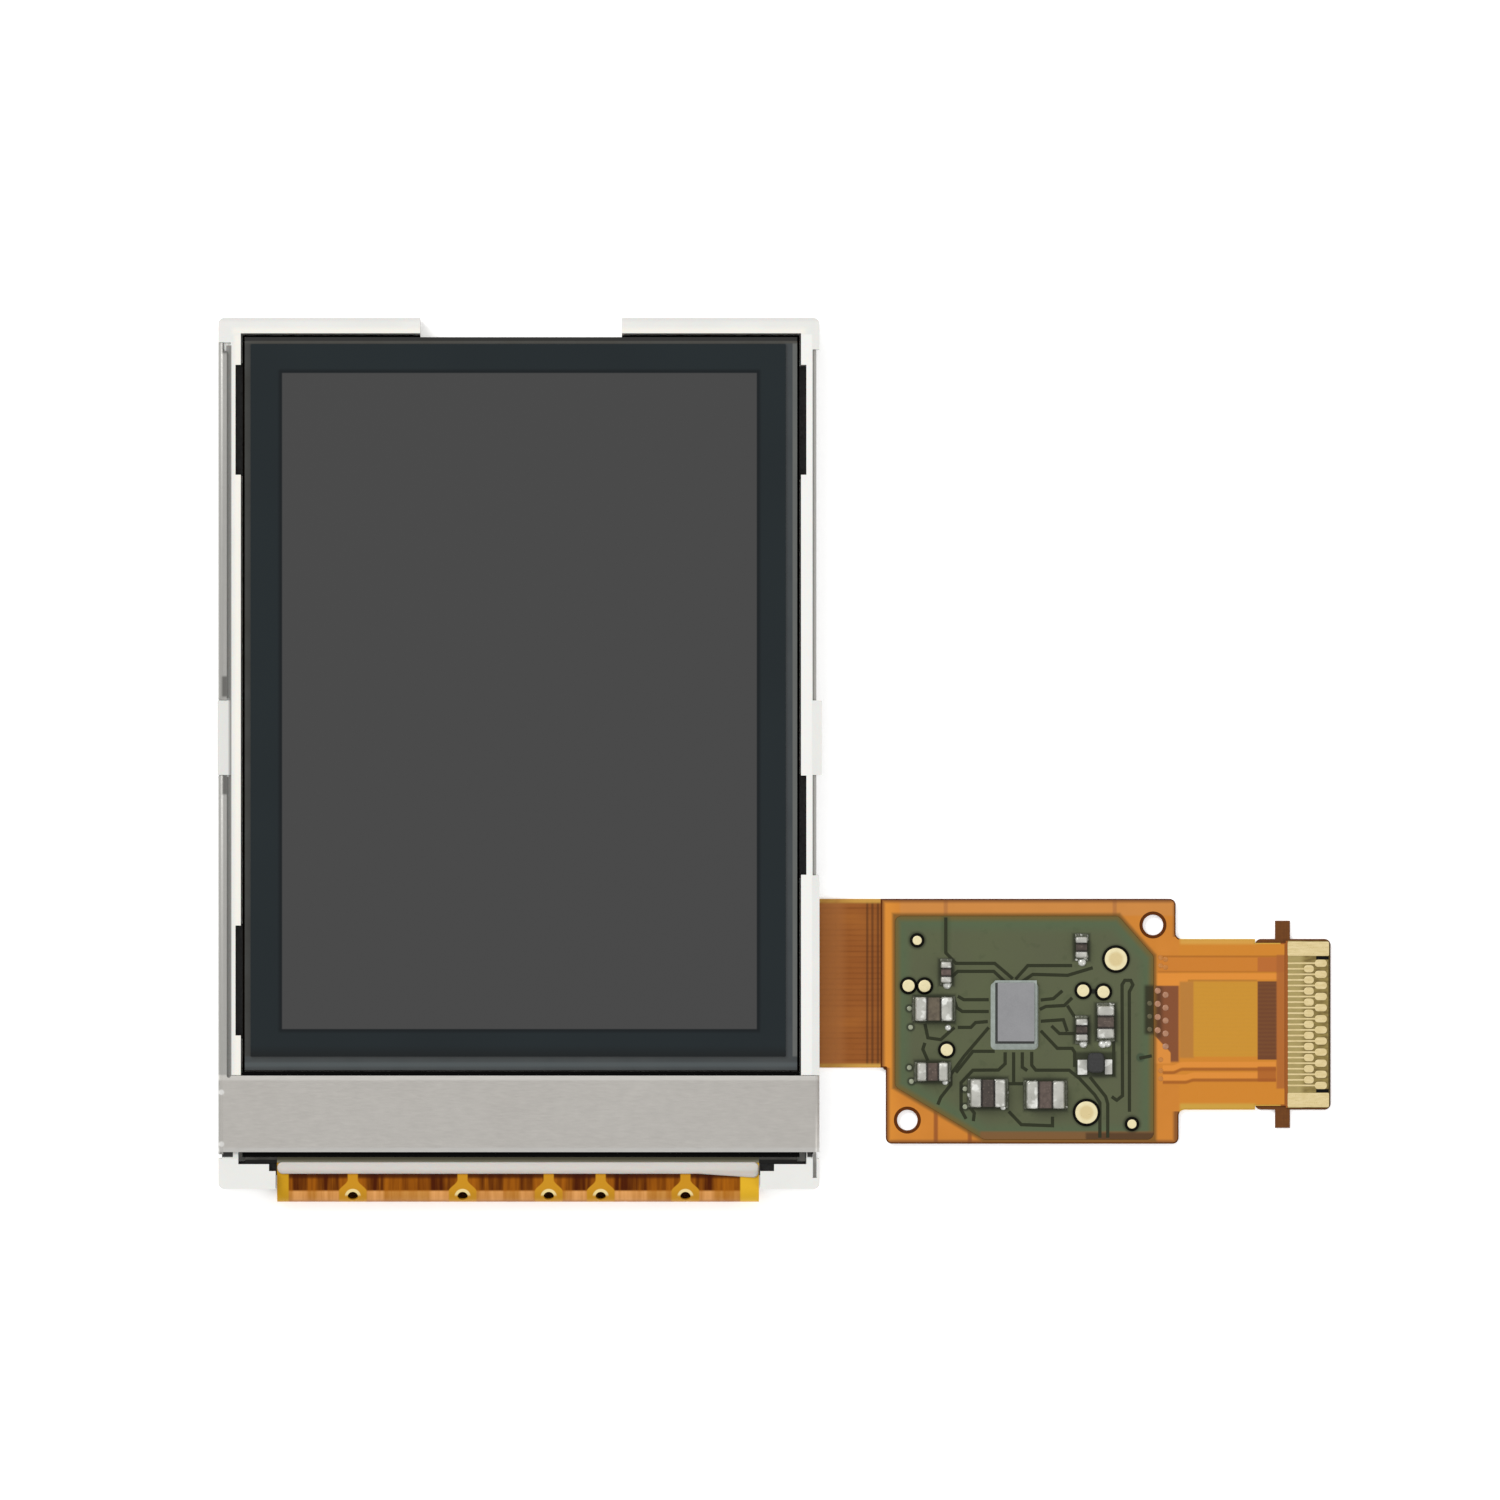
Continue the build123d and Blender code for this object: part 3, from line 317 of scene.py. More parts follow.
# Polarisers: dark glossy film laminated to the glass. Through the front one the picture area reads as an even
# grey and the printed border as a cooler, darker ring with a softly darker inner edge.
screen = Finish("front_polariser", "1d2427", roughness=0.16, Specular_IOR_Level=0.16)
screen.lay(screen.noise(0.12, detail=1.0), "20282b", 0.6)
screen.lay(screen.patch(-15.25, 15.32, -17.70, 24.36, 0.25), "12171a", 0.85)
screen.lay(screen.patch(-15.03, 15.10, -17.49, 24.15, 0.1), "434343")
screen.lay(screen.ramp(screen.y, -18.4, -19.24), "181b1c", 0.85)
screen.rough(screen.noise(0.3, low=0.14, high=0.2))
screen.on("front_polariser", "rear_polariser")
soften("front_polariser", 0.02)

# Driver chip: bare silicon pressed face down on the ledge, and the conductive film that bonds it and the
# flexible circuit to the glass.
silicon = Finish("driver_silicon", "5a6068", roughness=0.15, metallic=0.8)
silicon.lay(silicon.noise(1.2), "454a52", 0.5).on("driver_chip")
bond = Finish("bond_film", "9a8a5c", roughness=0.5)
bond.lay(bond.noise(20, detail=0.0), "c9ba84", 0.5).on("bond_film")

# Flexible circuit: brown polyimide over fine copper tracks, bonded to the ledge, folded round the bottom
# edge, taped under the plate and let out at the right. Amber shows wherever the copper stops: at its long
# edges and in the bell-shaped windows round the five small holes of the fold.
flex = Finish("flex_film", "a5632f", roughness=0.36, Specular_IOR_Level=0.05)
sideways = flex.noise(3.2, stretch=(0.05, 1.0, 1.0), detail=3.0)
endways = flex.noise(3.2, stretch=(1.0, 0.05, 0.05), detail=3.0)
lines = flex.ramp(flex.maths("PINGPONG", flex.maths("MULTIPLY", flex.y, 2.9), 0.5), 0.2, 0.5)
streaks = flex.noise(0.9, stretch=(0.3, 1, 1), low=0.3, high=1.0)
flex.lay(flex.maths("MULTIPLY", lines, streaks), "7c451e", 0.7)
flex.lay(sideways, "925326", 0.45)
flex.lay(flex.ramp(flex.noise(0.5, stretch=(0.2, 1, 1)), 0.5, 1.0), "b57033", 0.6)
flex.lay(flex.ramp(flex.x, 20.2, 23.0), "75431f", 0.5)
flex.lay(flex.patch(18.9, 20.6, -20.1, -9.2, 0.9), "c27e48", 0.6)
neck_tracks = (22.12, 22.45, 22.80)
for line_x in neck_tracks:
    flex.lay(flex.band(flex.x, line_x - 0.07, line_x + 0.07, 0.08), "50301c", 0.6)
on_neck = flex.ramp(flex.x, 18.0, 18.1)
neck_rim = flex.maths("MAXIMUM", flex.ramp(flex.y, -9.60, -9.40), flex.ramp(flex.y, -19.62, -19.82))
flex.lay(flex.maths("MULTIPLY", on_neck, neck_rim), "d0a04c", 0.85)
# Under the plate the tracks turn towards the neck
behind = flex.ramp(flex.z, 0.0, -0.03)
leaning = flex.maths("MULTIPLY", flex.maths("SUBTRACT", flex.x, flex.y), 1.3)
flex.lay(flex.maths("MULTIPLY", behind, flex.maths("PINGPONG", leaning, 0.5)), "b8743a", 0.55)
# On the glass ledge, seen through the film, it is olive
ledge_end = flex.maths("MULTIPLY", flex.ramp(flex.y, -26.05, -25.95), flex.ramp(flex.z, 1.3, 1.4))
flex.lay(ledge_end, "66624f")
flex.lay(flex.maths("MULTIPLY", ledge_end, flex.ramp(flex.y, -25.72, -25.96)), "97937e", 0.8)
# The fold, by its angle about its middle line: bare film is amber, copper has painted shade above and a
# painted highlight below
fold_y, fold_z = -27.49, 0.82
rise = flex.maths("SUBTRACT", flex.z, fold_z)
fall = flex.maths("SUBTRACT", fold_y, flex.y)
bend = flex.maths("MULTIPLY", flex.maths("ARCTAN2", rise, fall), 180 / pi)
on_fold = flex.maths("MULTIPLY", flex.ramp(flex.y, -25.95, -26.05), flex.ramp(bend, -70, -40))
fold_shade = flex.maths("MULTIPLY", on_fold, flex.ramp(bend, 70, 80))
fold_highlight = flex.maths("MULTIPLY", on_fold, flex.ramp(bend, 78, 68))
flex.lay(on_fold, "a65f0e")
flex.lay(flex.maths("MULTIPLY", fold_shade, endways), "642c02", 0.85)
flex.lay(fold_highlight, "b97526", 0.8)
flex.lay(flex.maths("MULTIPLY", fold_highlight, endways), "d69a50", 0.7)
# Copper areas: painted shade on the upper part, painted highlight on the curve below
copper_bands = ((-14.4, -13.4), (-12.8, -11.4), (-9.7, -8.6), (-5.65, -4.4), (-2.5, -0.9), (0.06, 0.9),
                (3.1, 4.5), (6.1, 8.1), (11.2, 12.4))
for low, high in copper_bands:
    copper = flex.maths("MULTIPLY", flex.band(flex.x, low, high, 0.3), flex.maths("ADD", 0.35, endways))
    flex.lay(flex.maths("MULTIPLY", fold_shade, copper), "491a02", 0.85)
    flex.lay(flex.maths("MULTIPLY", fold_highlight, copper), "ecaa68", 0.62)
flex.lay(flex.maths("MULTIPLY", on_fold, flex.ramp(bend, 40, 18)), "a86a2c", 0.7)
# Painted shade where the fold starts beside the bead
flex.lay(flex.maths("MULTIPLY", on_fold, flex.ramp(flex.y, -27.08, -26.84)), "3c1406", 0.85)
# Each hole has a bell-shaped window in the copper and a painted glint as a light crescent above it
hole_bend, mm_per_degree = 52.0, 0.0173
fold_holes = (-10.55, -3.58, 1.89, 5.19, 10.57)
for hole_x in fold_holes:
    across = flex.maths("ABSOLUTE", flex.maths("SUBTRACT", flex.x, hole_x))
    half = flex.ramp(bend, 114, 72, 0.32, 0.88)
    within = flex.ramp(flex.maths("SUBTRACT", half, across), -0.05, 0.05)
    window = flex.maths("MULTIPLY", within, flex.ramp(bend, 0, 12))
    flex.lay(flex.maths("MULTIPLY", on_fold, window), "c88e22")
    along = flex.maths("MULTIPLY", flex.maths("SUBTRACT", bend, hole_bend), mm_per_degree)
    away = flex.add("CombineXYZ", across, along)
    ring = flex.add("VectorMath", away.outputs[0], operation="LENGTH").outputs["Value"]
    rim_glint = flex.maths("MULTIPLY", flex.band(ring, 0.30, 0.50, 0.06), flex.ramp(bend, 48, 62))
    flex.lay(flex.maths("MULTIPLY", on_fold, rim_glint), "f4e2a4", 0.85)
# Bare film at both ends of the fold
fold_ends = ((-15.5, -14.62, "c8961f"), (14.05, 15.4, "e0b02c"))
for low, high, code in fold_ends:
    flex.lay(flex.maths("MULTIPLY", on_fold, flex.band(flex.x, low, high, 0.12)), code)
# The board's bare rim, the tail's amber rim and the olive ground between the contacts
flex.lay(flex.patch(22.97, 41.95, -24.9, -9.2, 0.02), "5d2e0c")
flex.lay(flex.band(flex.x, 41.95, 48.4, 0.1), "d2a648")
flex.lay(flex.band(flex.x, 48.4, 48.87, 0.04), "9c5a2a")
ground = flex.band(flex.x, 48.86, 52, 0.03)
flex.lay(ground, "75633a")
flex.lay(flex.maths("MULTIPLY", ground, flex.noise(5, stretch=(0.4, 1.5, 1))), "a8965a", 0.6)
flex.lay(flex.maths("MULTIPLY", ground, flex.ramp(flex.x, 50.05, 49.55)), "b3a26c", 0.72)
flex.lay(flex.ramp(flex.x, 51.38, 51.48), "4d4326")
flex.rough(flex.noise(2, low=0.26, high=0.4))
flex.bump(sideways, 0.006)
flex.on("flex_circuit")

# Resin bead: pale, slightly cloudy resin, run along the glass edge over the bonded circuit and cured there.
# It keeps damp from the bond, and has a painted highlight along its upper side.
resin = Finish("cured_resin", "c9c1b9", roughness=0.3, Subsurface_Weight=0.2, Subsurface_Scale=0.0005)
resin.lay(resin.noise(1.5, stretch=(0.4, 2, 1)), "c0b8b0", 0.6)
# Painted highlight along the upper side
resin.lay(resin.ramp(resin.y, -26.6, -26.35), "dedad5", 0.5)
resin.bump(resin.noise(1.6, stretch=(0.5, 1, 1)), 0.02)
resin.on("sealant_bead")

# Back tape: double-sided tape, a cloudy cream in colour. It is stuck to the back of the plate and holds the
# folded circuit down.
adhesive = Finish("back_tape", "c9c4b4", roughness=0.6)
adhesive.lay(adhesive.noise(3), "b5af9c", 0.5).on("back_tape")

# Stiffeners: brown glass-fibre laminate under the board and under the contact tongue, milled to shape. The
# glass cloth shows as a fine square weave.
laminate = Finish("brown_laminate", "6c3f18", roughness=0.55, Specular_IOR_Level=0.14)
threads = 5.0
warp = laminate.maths("PINGPONG", laminate.maths("MULTIPLY", laminate.x, threads), 0.5)
weft = laminate.maths("PINGPONG", laminate.maths("MULTIPLY", laminate.y, threads), 0.5)
weave = laminate.maths("MULTIPLY", warp, weft)
laminate.lay(weave, "8c5826", 0.8)
laminate.lay(laminate.noise(4), "583218", 0.4)
# Under the two slots of the tongue it is painted black
slots = (-21.44, -12.99)
for slot_y in slots:
    cut = laminate.patch(50.55, 51.5, slot_y - 0.16, slot_y + 0.16, 0.05)
    laminate.lay(laminate.maths("MULTIPLY", cut, laminate.ramp(laminate.z, -0.03, 0.0)), "0b0805")
laminate.bump(weave, 0.004)
laminate.on("board_stiffener", "tongue_stiffener")
soften("tongue_stiffener", 0.03)

# Cover film: orange polyimide laid over the board and the tail, with openings for the components. The
# copper under it shows through: stub lines to the board's edge, the brown ground of the plated holes, and
# the tail's bands.
orange = Finish("orange_cover", "c87d2a", roughness=0.38, Specular_IOR_Level=0.2)
orange.lay(orange.noise(0.5), "d38530", 0.6)
orange.lay(orange.ramp(orange.x, 24.6, 23.2), "de9032", 0.7)
# Stub lines out to the board's edges, and the duller band along its top
stubs = ((27.11, -10.4, -9.2), (37.85, -10.4, -9.2), (26.48, -24.8, -22.2), (28.64, -24.8, -23.7))
for line_x, low, high in stubs:
    orange.lay(orange.patch(line_x - 0.13, line_x + 0.13, low, high, 0.14), "8c4a20", 0.8)
orange.lay(orange.patch(24.2, 41.7, -10.3, -9.2, 0.2), "c88a4c", 0.5)
# Brown ground of the plated holes, darker at their first row and cut off at its lower left
orange.lay(orange.patch(40.3, 41.93, -19.6, -14.74, 0.2), "824c2c")
orange.lay(orange.patch(40.2, 40.86, -18.1, -14.8, 0.4), "55341c", 0.85)
cut = orange.ramp(orange.beyond((41.26, -18.84), (40.50, -18.03)), -0.03, 0.06)
orange.lay(orange.maths("MULTIPLY", cut, orange.patch(40.2, 41.4, -19.7, -17.9, 0.1)), "d88a38")


def inside(finish, corners):
    """Distance inside an outline without hollows, its corners given clockwise as seen from above."""
    sides = zip(corners[1:] + corners[:1], corners)
    return finish.least(*(finish.beyond(start, end) for start, end in sides))


def tail_patch(x0, x1, y0, y1, code, amount=1.0, soft=0.1):
    """Copper seen through the tail's cover film."""
    orange.lay(orange.patch(x0, x1, y0, y1, soft), code, amount)


orange.lay(orange.ramp(orange.x, 41.85, 42.05), "cd8228")
# Upper copper area with its edges, and the light line under it
tail_patch(40.6, 48.7, -13.87, -12.92, "c87a2a", 0.8)
tail_patch(40.6, 48.7, -12.96, -12.84, "a8641c", 0.8)
tail_patch(40.6, 48.7, -13.92, -13.82, "b06a20", 0.7)
tail_patch(40.5, 48.3, -14.36, -13.98, "de8c34", 0.9)
tail_patch(40.5, 42.5, -14.75, -14.30, "de8c34", 0.9)
tail_patch(42.5, 46.9, -14.52, -14.38, "ac742a", 0.7)
# The window between the copper areas, with its brown end
tail_patch(41.97, 42.90, -19.35, -14.50, "b67a33", 1.0, 0.2)
tail_patch(42.86, 46.92, -19.27, -14.50, "c88e2c", 1.0, 0.16)
tail_patch(46.93, 48.17, -19.46, -14.48, "6c3f24")
tail_patch(46.93, 48.6, -13.86, -12.95, "b4662c", 0.9)
# Two lower copper lines that step up a little on their way to the tongue
stepped_lines = ((-19.97, -19.60, 41.5, 42.2, 0.22), (-20.66, -20.27, 42.3, 42.9, 0.14))
for low, high, start, end, drop in stepped_lines:
    stepped = orange.maths("ADD", orange.y, orange.ramp(orange.x, end, start, 0.0, drop))
    along = orange.band(orange.x, 40.9, 48.1)
    orange.lay(orange.maths("MULTIPLY", along, orange.band(stepped, low, high, 0.12)), "de8c36", 0.85)
    orange.lay(orange.maths("MULTIPLY", along, orange.band(stepped, low - 0.2, low, 0.14)), "a05a1c", 0.9)
tail_patch(46.93, 48.1, -20.85, -19.90, "a0561f", 0.8)
tail_patch(48.13, 48.80, -21.3, -12.8, "a8602a", 0.85, 0.16)
# Bare film along both edges, and a trace of fine tracks in the window
tail_patch(42.0, 46.8, -12.12, -11.5, "d3a048", 0.8, 0.25)
tail_patch(42.0, 46.8, -22.9, -22.25, "c8a040", 0.85, 0.25)
tracks = orange.maths("PINGPONG", orange.maths("MULTIPLY", orange.y, 4.0), 0.5)
orange.lay(orange.maths("MULTIPLY", orange.patch(42.86, 48.17, -19.3, -14.45, 0.1), tracks), "b07c34", 0.18)
# The film dips towards its cut outline and towards the green area, and is darkened there with painted shade
board_right, board_top, board_foot, out_of_reach = 41.8, -9.24, -24.80, 99.0
left_edge = orange.maths("SUBTRACT", orange.x, orange.ramp(orange.y, -19.9, -20.0, 22.99, 23.30))
on_tail = orange.band(orange.y, -22.7, -11.7, 0.1)
right_edge = orange.maths("ADD", orange.maths("SUBTRACT", board_right, orange.x),
                          orange.maths("MULTIPLY", on_tail, out_of_reach))
rim = orange.least(left_edge, right_edge, orange.maths("SUBTRACT", board_top, orange.y),
                   orange.maths("ADD", orange.y, -board_foot))
orange.lay(orange.ramp(rim, 0.36, 0.08), "784822", 0.85)
mask_corners = ((23.88, -10.32), (38.10, -10.32), (40.33, -12.86), (40.33, -24.54), (29.53, -24.54),
                (23.88, -21.19))
orange.lay(orange.ramp(inside(orange, mask_corners), -0.30, -0.03), "76521f", 0.9)
orange.rough(orange.noise(3, low=0.3, high=0.42))
orange.bump(orange.noise(2.5), 0.004)
orange.on("board_coverlay")

# Solder mask: olive green lacquer over the copper, sunk in the gaps between the copper areas. It is greener
# where it runs out over bare film near its edges, brown where it meets the orange cover, and dark with
# painted shadow round the soldered parts and the bare lands.
def board(*places):
    """Places in millimetres from the board's centre, in the part's frame."""
    centre_x, centre_y = 32.355, -17.02
    return [(centre_x + x, centre_y + y) for x, y in places]


# Chip capacitors: place from the board's centre, length, width, height and whether the chip stands upright
chips = [(-5.22, 3.11, 1.33, 0.62, 0.45, True), (-6.00, 0.78, 2.34, 1.46, 0.60, False),
         (-6.08, -3.21, 1.93, 1.12, 0.55, False), (-2.56, -4.57, 2.18, 1.72, 0.70, False),
         (1.09, -4.67, 2.37, 1.70, 0.70, False), (3.38, 4.70, 1.33, 0.70, 0.45, True),
         (3.40, -0.54, 1.40, 0.70, 0.45, True), (4.92, -0.05, 2.05, 1.02, 0.55, True)]
SMALL_R, TINY_R, LARGE_R = 0.385, 0.29, 0.71
small_lands = board((-7.61, 2.26), (-6.59, 2.24), (-5.18, -1.82), (3.49, 1.95), (4.78, 1.86))
tiny_lands = board((-7.06, 5.14), (6.59, -6.53))
large_lands = board((5.57, 3.95), (3.70, -5.80))

green = Finish("green_mask", "585e42", roughness=0.38, Specular_IOR_Level=0.2)
green.lay(green.noise(0.35, detail=3.0), "575a43", 0.7)
green.lay(green.ramp(green.noise(1.6), 0.75, 1.0), "474f36", 0.3)
rim = inside(green, mask_corners)
green.lay(green.ramp(rim, 1.3, 0.4), "526346", 0.75)
green.lay(green.ramp(rim, 0.5, 0.02), "6e5a28", 0.9)
# The brown foot, darker on the right; the dark field of the plated holes; the stub line; a small dimple
green.lay(green.patch(29.3, 40.4, -24.6, -24.02, 0.2), "7c5630", 0.9)
green.lay(green.patch(36.0, 40.4, -24.6, -24.10, 0.2), "3f2a18", 0.7)
green.lay(green.patch(39.74, 40.4, -17.85, -14.72, 0.3), "25210f", 0.85)
green.lay(green.patch(26.85, 27.38, -12.6, -10.35, 0.35), "3e4a2e", 0.5)
green.lay(green.ramp(green.reach(39.49, -19.32), 0.36, 0.2), "3a4a36", 0.8)
# Painted shadow round the chips, the choke and the lands
near = []
choke_area = (4.27, -2.76, 2.2, 1.2, 0.5, False)
for x, y, length, width, _, upright in chips + [choke_area]:
    half_x, half_y = (width / 2, length / 2) if upright else (length / 2, width / 2)
    (chip_x, chip_y), = board((x, y))
    aside = green.maths("SUBTRACT", green.maths("ABSOLUTE", green.maths("SUBTRACT", green.x, chip_x)), half_x)
    above = green.maths("SUBTRACT", green.maths("ABSOLUTE", green.maths("SUBTRACT", green.y, chip_y)), half_y)
    near.append(green.maths("MAXIMUM", aside, above))
for lands, radius in ((small_lands, SMALL_R), (tiny_lands, TINY_R + 0.05), (large_lands, LARGE_R)):
    near += [green.maths("SUBTRACT", green.reach(x, y), radius) for x, y in lands]
green.lay(green.ramp(green.least(*near), 0.34, 0.08), "1f2316", 0.75)
# The sunk gaps, a black spot that joins two rings, and painted shadow round the small dots
green.lay(green.ramp(green.z, 0.178, 0.170), "2a2e1a")
black_spot = board((4.13, 1.90))
for x, y in black_spot:
    green.lay(green.ramp(green.reach(x, y), 0.24, 0.10), "0b0d07", 0.9)
dot_shadows = ((24.80, -16.21), (24.88, -17.40), (24.93, -20.84), (28.32, -21.32), (28.32, -22.45),
              (24.80, -19.97))
for x, y in dot_shadows:
    green.lay(green.ramp(green.reach(x, y), 0.36, 0.2), "1d2116", 0.7)
green.rough(green.noise(4, low=0.28, high=0.4))
green.bump(green.noise(3, detail=3.0), 0.003)
green.on("solder_mask")


# Plated dots: small domes of lacquer over the plated holes of the green area, and plated and covered holes
# in columns where its tracks dive into the tail. They are alike, so one dome is repeated at each place.
def socket_tree(name, **sockets):
    """Empty geometry tree that takes a mesh of places and the named sizes, and gives one mesh."""
    tree = bpy.data.node_groups.new(name, "GeometryNodeTree")
    tree.interface.new_socket("Places", in_out="INPUT", socket_type="NodeSocketGeometry")
    for label, kind in sockets.items():
        tree.interface.new_socket(label, in_out="INPUT", socket_type="NodeSocket" + kind)
    tree.interface.new_socket("Mesh", in_out="OUTPUT", socket_type="NodeSocketGeometry")
    return tree, tree.nodes.new("NodeGroupInput").outputs, tree.nodes.new("NodeGroupOutput").inputs


def step(tree, kind, feeds, **settings):
    """Node of a geometry tree with its inputs fed by name or number."""
    node = tree.nodes.new(kind)
    for name, value in settings.items():
        setattr(node, name, value)
    for name, value in feeds.items():
        if isinstance(value, bpy.types.NodeSocket):
            tree.links.new(value, node.inputs[name])
        else:
            node.inputs[name].default_value = value
    return node.outputs


def repeated(name, places, height, tree, finish, slot, **sizes):
    """One shape at each place, made by a geometry tree and kept as a plain mesh that rides on the part."""
    mesh = bpy.data.meshes.new(name)
    mesh.from_pydata([(x * MM, y * MM, height * MM) for x, y in places], [], [])
    part = bpy.data.objects.new(name, mesh)
    bpy.context.collection.objects.link(part)
    maker = part.modifiers.new("repeat", "NODES")
    maker.node_group = tree
    sizes["Material"] = finish.material
    for item in tree.interface.items_tree:
        if item.in_out == "INPUT" and item.name in sizes:
            value = sizes[item.name]
            maker[item.identifier] = value * MM if isinstance(value, float) else value
    made = part.evaluated_get(bpy.context.evaluated_depsgraph_get())
    part.data = bpy.data.meshes.new_from_object(made)
    part.modifiers.clear()
    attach(part, "root")
    return part


dome_tree, given, result = socket_tree("dome_at_places", Radius="Float", Height="Float", Material="Material")
ball = step(dome_tree, "GeometryNodeMeshUVSphere", {"Segments": 16, "Rings": 8, "Radius": 1.0})
squash = step(dome_tree, "ShaderNodeCombineXYZ", {0: given["Radius"], 1: given["Radius"], 2: given["Height"]})
spread = step(dome_tree, "GeometryNodeInstanceOnPoints",
              {"Points": given["Places"], "Instance": ball[0], "Scale": squash[0]})
plain = step(dome_tree, "GeometryNodeRealizeInstances", {0: spread[0]})
smooth = step(dome_tree, "GeometryNodeSetShadeSmooth", {0: plain[0]})
coated = step(dome_tree, "GeometryNodeSetMaterial", {"Geometry": smooth[0], "Material": given["Material"]})
dome_tree.links.new(coated[0], result[0])

# Height of the board's face, which the dots, chips and solder stand on
TOP = 0.18
lacquer = Finish("lacquered_dot", "a4a890", roughness=0.25)
lacquer.lay(lacquer.noise(6), "757e66", 0.6)
dots = board((-7.55, 0.81), (-7.48, -0.38), (-7.43, -3.82), (-4.02, -4.30), (-4.02, -5.43), (-7.56, -2.95))
repeated("lacquered_dots", dots, TOP, dome_tree, lacquer, "green_mask", Radius=0.16, Height=0.05)
plated = Finish("plated_hole", "b5876b", roughness=0.3, Specular_IOR_Level=0.3)
plated.lay(plated.noise(5), "9a6748", 0.6)
first_column = [(40.58, -15.08 - 0.837 * n) for n in range(4)]
second_column = [(41.08, -15.34 - 0.82 * n) for n in range(5)]
repeated("plated_holes", first_column + second_column, TOP, dome_tree, plated, "orange_cover",
         Radius=0.2, Height=0.05)
covered = Finish("covered_hole", "c68444", roughness=0.35, Specular_IOR_Level=0.15)
covered.lay(covered.noise(5), "b06c2c", 0.7)
covered.lay(covered.ramp(covered.x, 40.36, 40.30), "5f5a42")
hidden = [(40.07, -15.88 - 0.825 * n) for n in range(3)]
hidden += [(40.77, -12.98), (41.08, -13.08), (40.77, -13.49), (41.08, -13.59), (40.77, -19.46),
           (40.77, -20.16), (40.77, -20.67)]
repeated("covered_holes", hidden, TOP, dome_tree, covered, "orange_cover", Radius=0.16, Height=0.03)

# Test lands: round gold lands in bare black rings, the two large ones with a worn, deeper centre where the
# probe touches. Each is a thin disc of plated copper, slightly crowned.
gold = Finish("gold_plate", "f2e6b8", roughness=0.32, metallic=0.2)
gold.lay(gold.noise(4), "e6d8a8", 0.5)
for x, y in large_lands:
    gold.lay(gold.ramp(gold.reach(x, y), 0.56, 0.34), "dfcb95")
gold.rough(gold.noise(5, low=0.26, high=0.42))
gold.bump(gold.noise(6), 0.004)
bare = Finish("bare_ring", "0b0a06", roughness=0.6, Specular_IOR_Level=0.1)
bare.lay(bare.noise(8), "1a1810", 0.5)


def turned(name, places, profile, finish, around=40):
    """Closed shape turned about an upright axis at each place, from (radius, height) points."""
    bm = bmesh.new()
    for x, y in places:
        rings = []
        for radius, height in profile:
            if radius == 0:
                rings.append([bm.verts.new((x * MM, y * MM, height * MM))])
            else:
                rings.append([bm.verts.new(((x + radius * cos(2 * pi * n / around)) * MM,
                                            (y + radius * sin(2 * pi * n / around)) * MM, height * MM))
                              for n in range(around)])
        for low, high in zip(rings, rings[1:]):
            for n in range(around):
                m = (n + 1) % around
                if len(low) == 1:
                    bm.faces.new((low[0], high[m], high[n]))
                elif len(high) == 1:
                    bm.faces.new((low[n], low[m], high[0]))
                else:
                    bm.faces.new((low[n], low[m], high[m], high[n]))
    return kept(name, bm, finish)


def kept(name, bm, finish):
    """Turns a worked mesh into a piece that rides on the part."""
    bmesh.ops.recalc_face_normals(bm, faces=bm.faces)
    mesh = bpy.data.meshes.new(name)
    bm.to_mesh(mesh)
    bm.free()
    for face in mesh.polygons:
        face.use_smooth = True
    part = bpy.data.objects.new(name, mesh)
    bpy.context.collection.objects.link(part)
    finish.on(part)
    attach(part, "root")
    return part


# Lands and rings start inside the board and end close to its face
SUNK = 0.15
land_kinds = (("small", small_lands, SMALL_R), ("tiny", tiny_lands, TINY_R), ("large", large_lands, LARGE_R))
for name, places, r in land_kinds:
    crown = [(0, SUNK), (r, SUNK), (r, 0.176), (r - 0.03, 0.184), (0.7 * r, 0.187), (0, 0.188)]
    land = turned(f"{name}_lands", places, crown, gold)
    if name == "large":
        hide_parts("test_pads")
    ring_profile = [(0, SUNK), (r + 0.16, SUNK), (r + 0.17, 0.168), (0, 0.168)]
    turned(f"{name}_rings", places, ring_profile, bare)

# Contacts of the tongue: gold plated copper, two staggered rows of rounded pads on fine tracks between two
# wide end lands. Each is a low plate with a softly rounded top edge, repeated by a geometry tree.
plate_tree, given, result = socket_tree("plate_at_places", Length="Float", Width="Float", Corner="Float",
                                        Height="Float", Material="Material")
outline = step(plate_tree, "GeometryNodeCurvePrimitiveQuadrilateral",
               {"Width": given["Length"], "Height": given["Width"]})
rounded = step(plate_tree, "GeometryNodeFilletCurve",
               {"Curve": outline[0], "Radius": given["Corner"], "Count": 5, "Limit Radius": True},
               mode="POLY")
sheet = step(plate_tree, "GeometryNodeFillCurve", {"Curve": rounded[0]}, mode="NGONS")
edge_rise = step(plate_tree, "ShaderNodeMath", {0: given["Height"], 1: 0.65}, operation="MULTIPLY")
top_rise = step(plate_tree, "ShaderNodeMath", {0: given["Height"], 1: 0.35}, operation="MULTIPLY")
wall = step(plate_tree, "GeometryNodeExtrudeMesh", {"Mesh": sheet[0], "Offset Scale": edge_rise[0]})
crown = step(plate_tree, "GeometryNodeExtrudeMesh",
             {"Mesh": wall["Mesh"], "Selection": wall["Top"], "Offset Scale": top_rise[0]})
drawn_in = step(plate_tree, "GeometryNodeScaleElements",
                {"Geometry": crown["Mesh"], "Selection": crown["Top"], "Scale": 0.86}, domain="FACE")
under = step(plate_tree, "GeometryNodeFlipFaces", {"Mesh": sheet[0]})
both = plate_tree.nodes.new("GeometryNodeJoinGeometry")
plate_tree.links.new(drawn_in[0], both.inputs[0])
plate_tree.links.new(under[0], both.inputs[0])
closed = step(plate_tree, "GeometryNodeMergeByDistance", {"Geometry": both.outputs[0], "Distance": 1e-7})
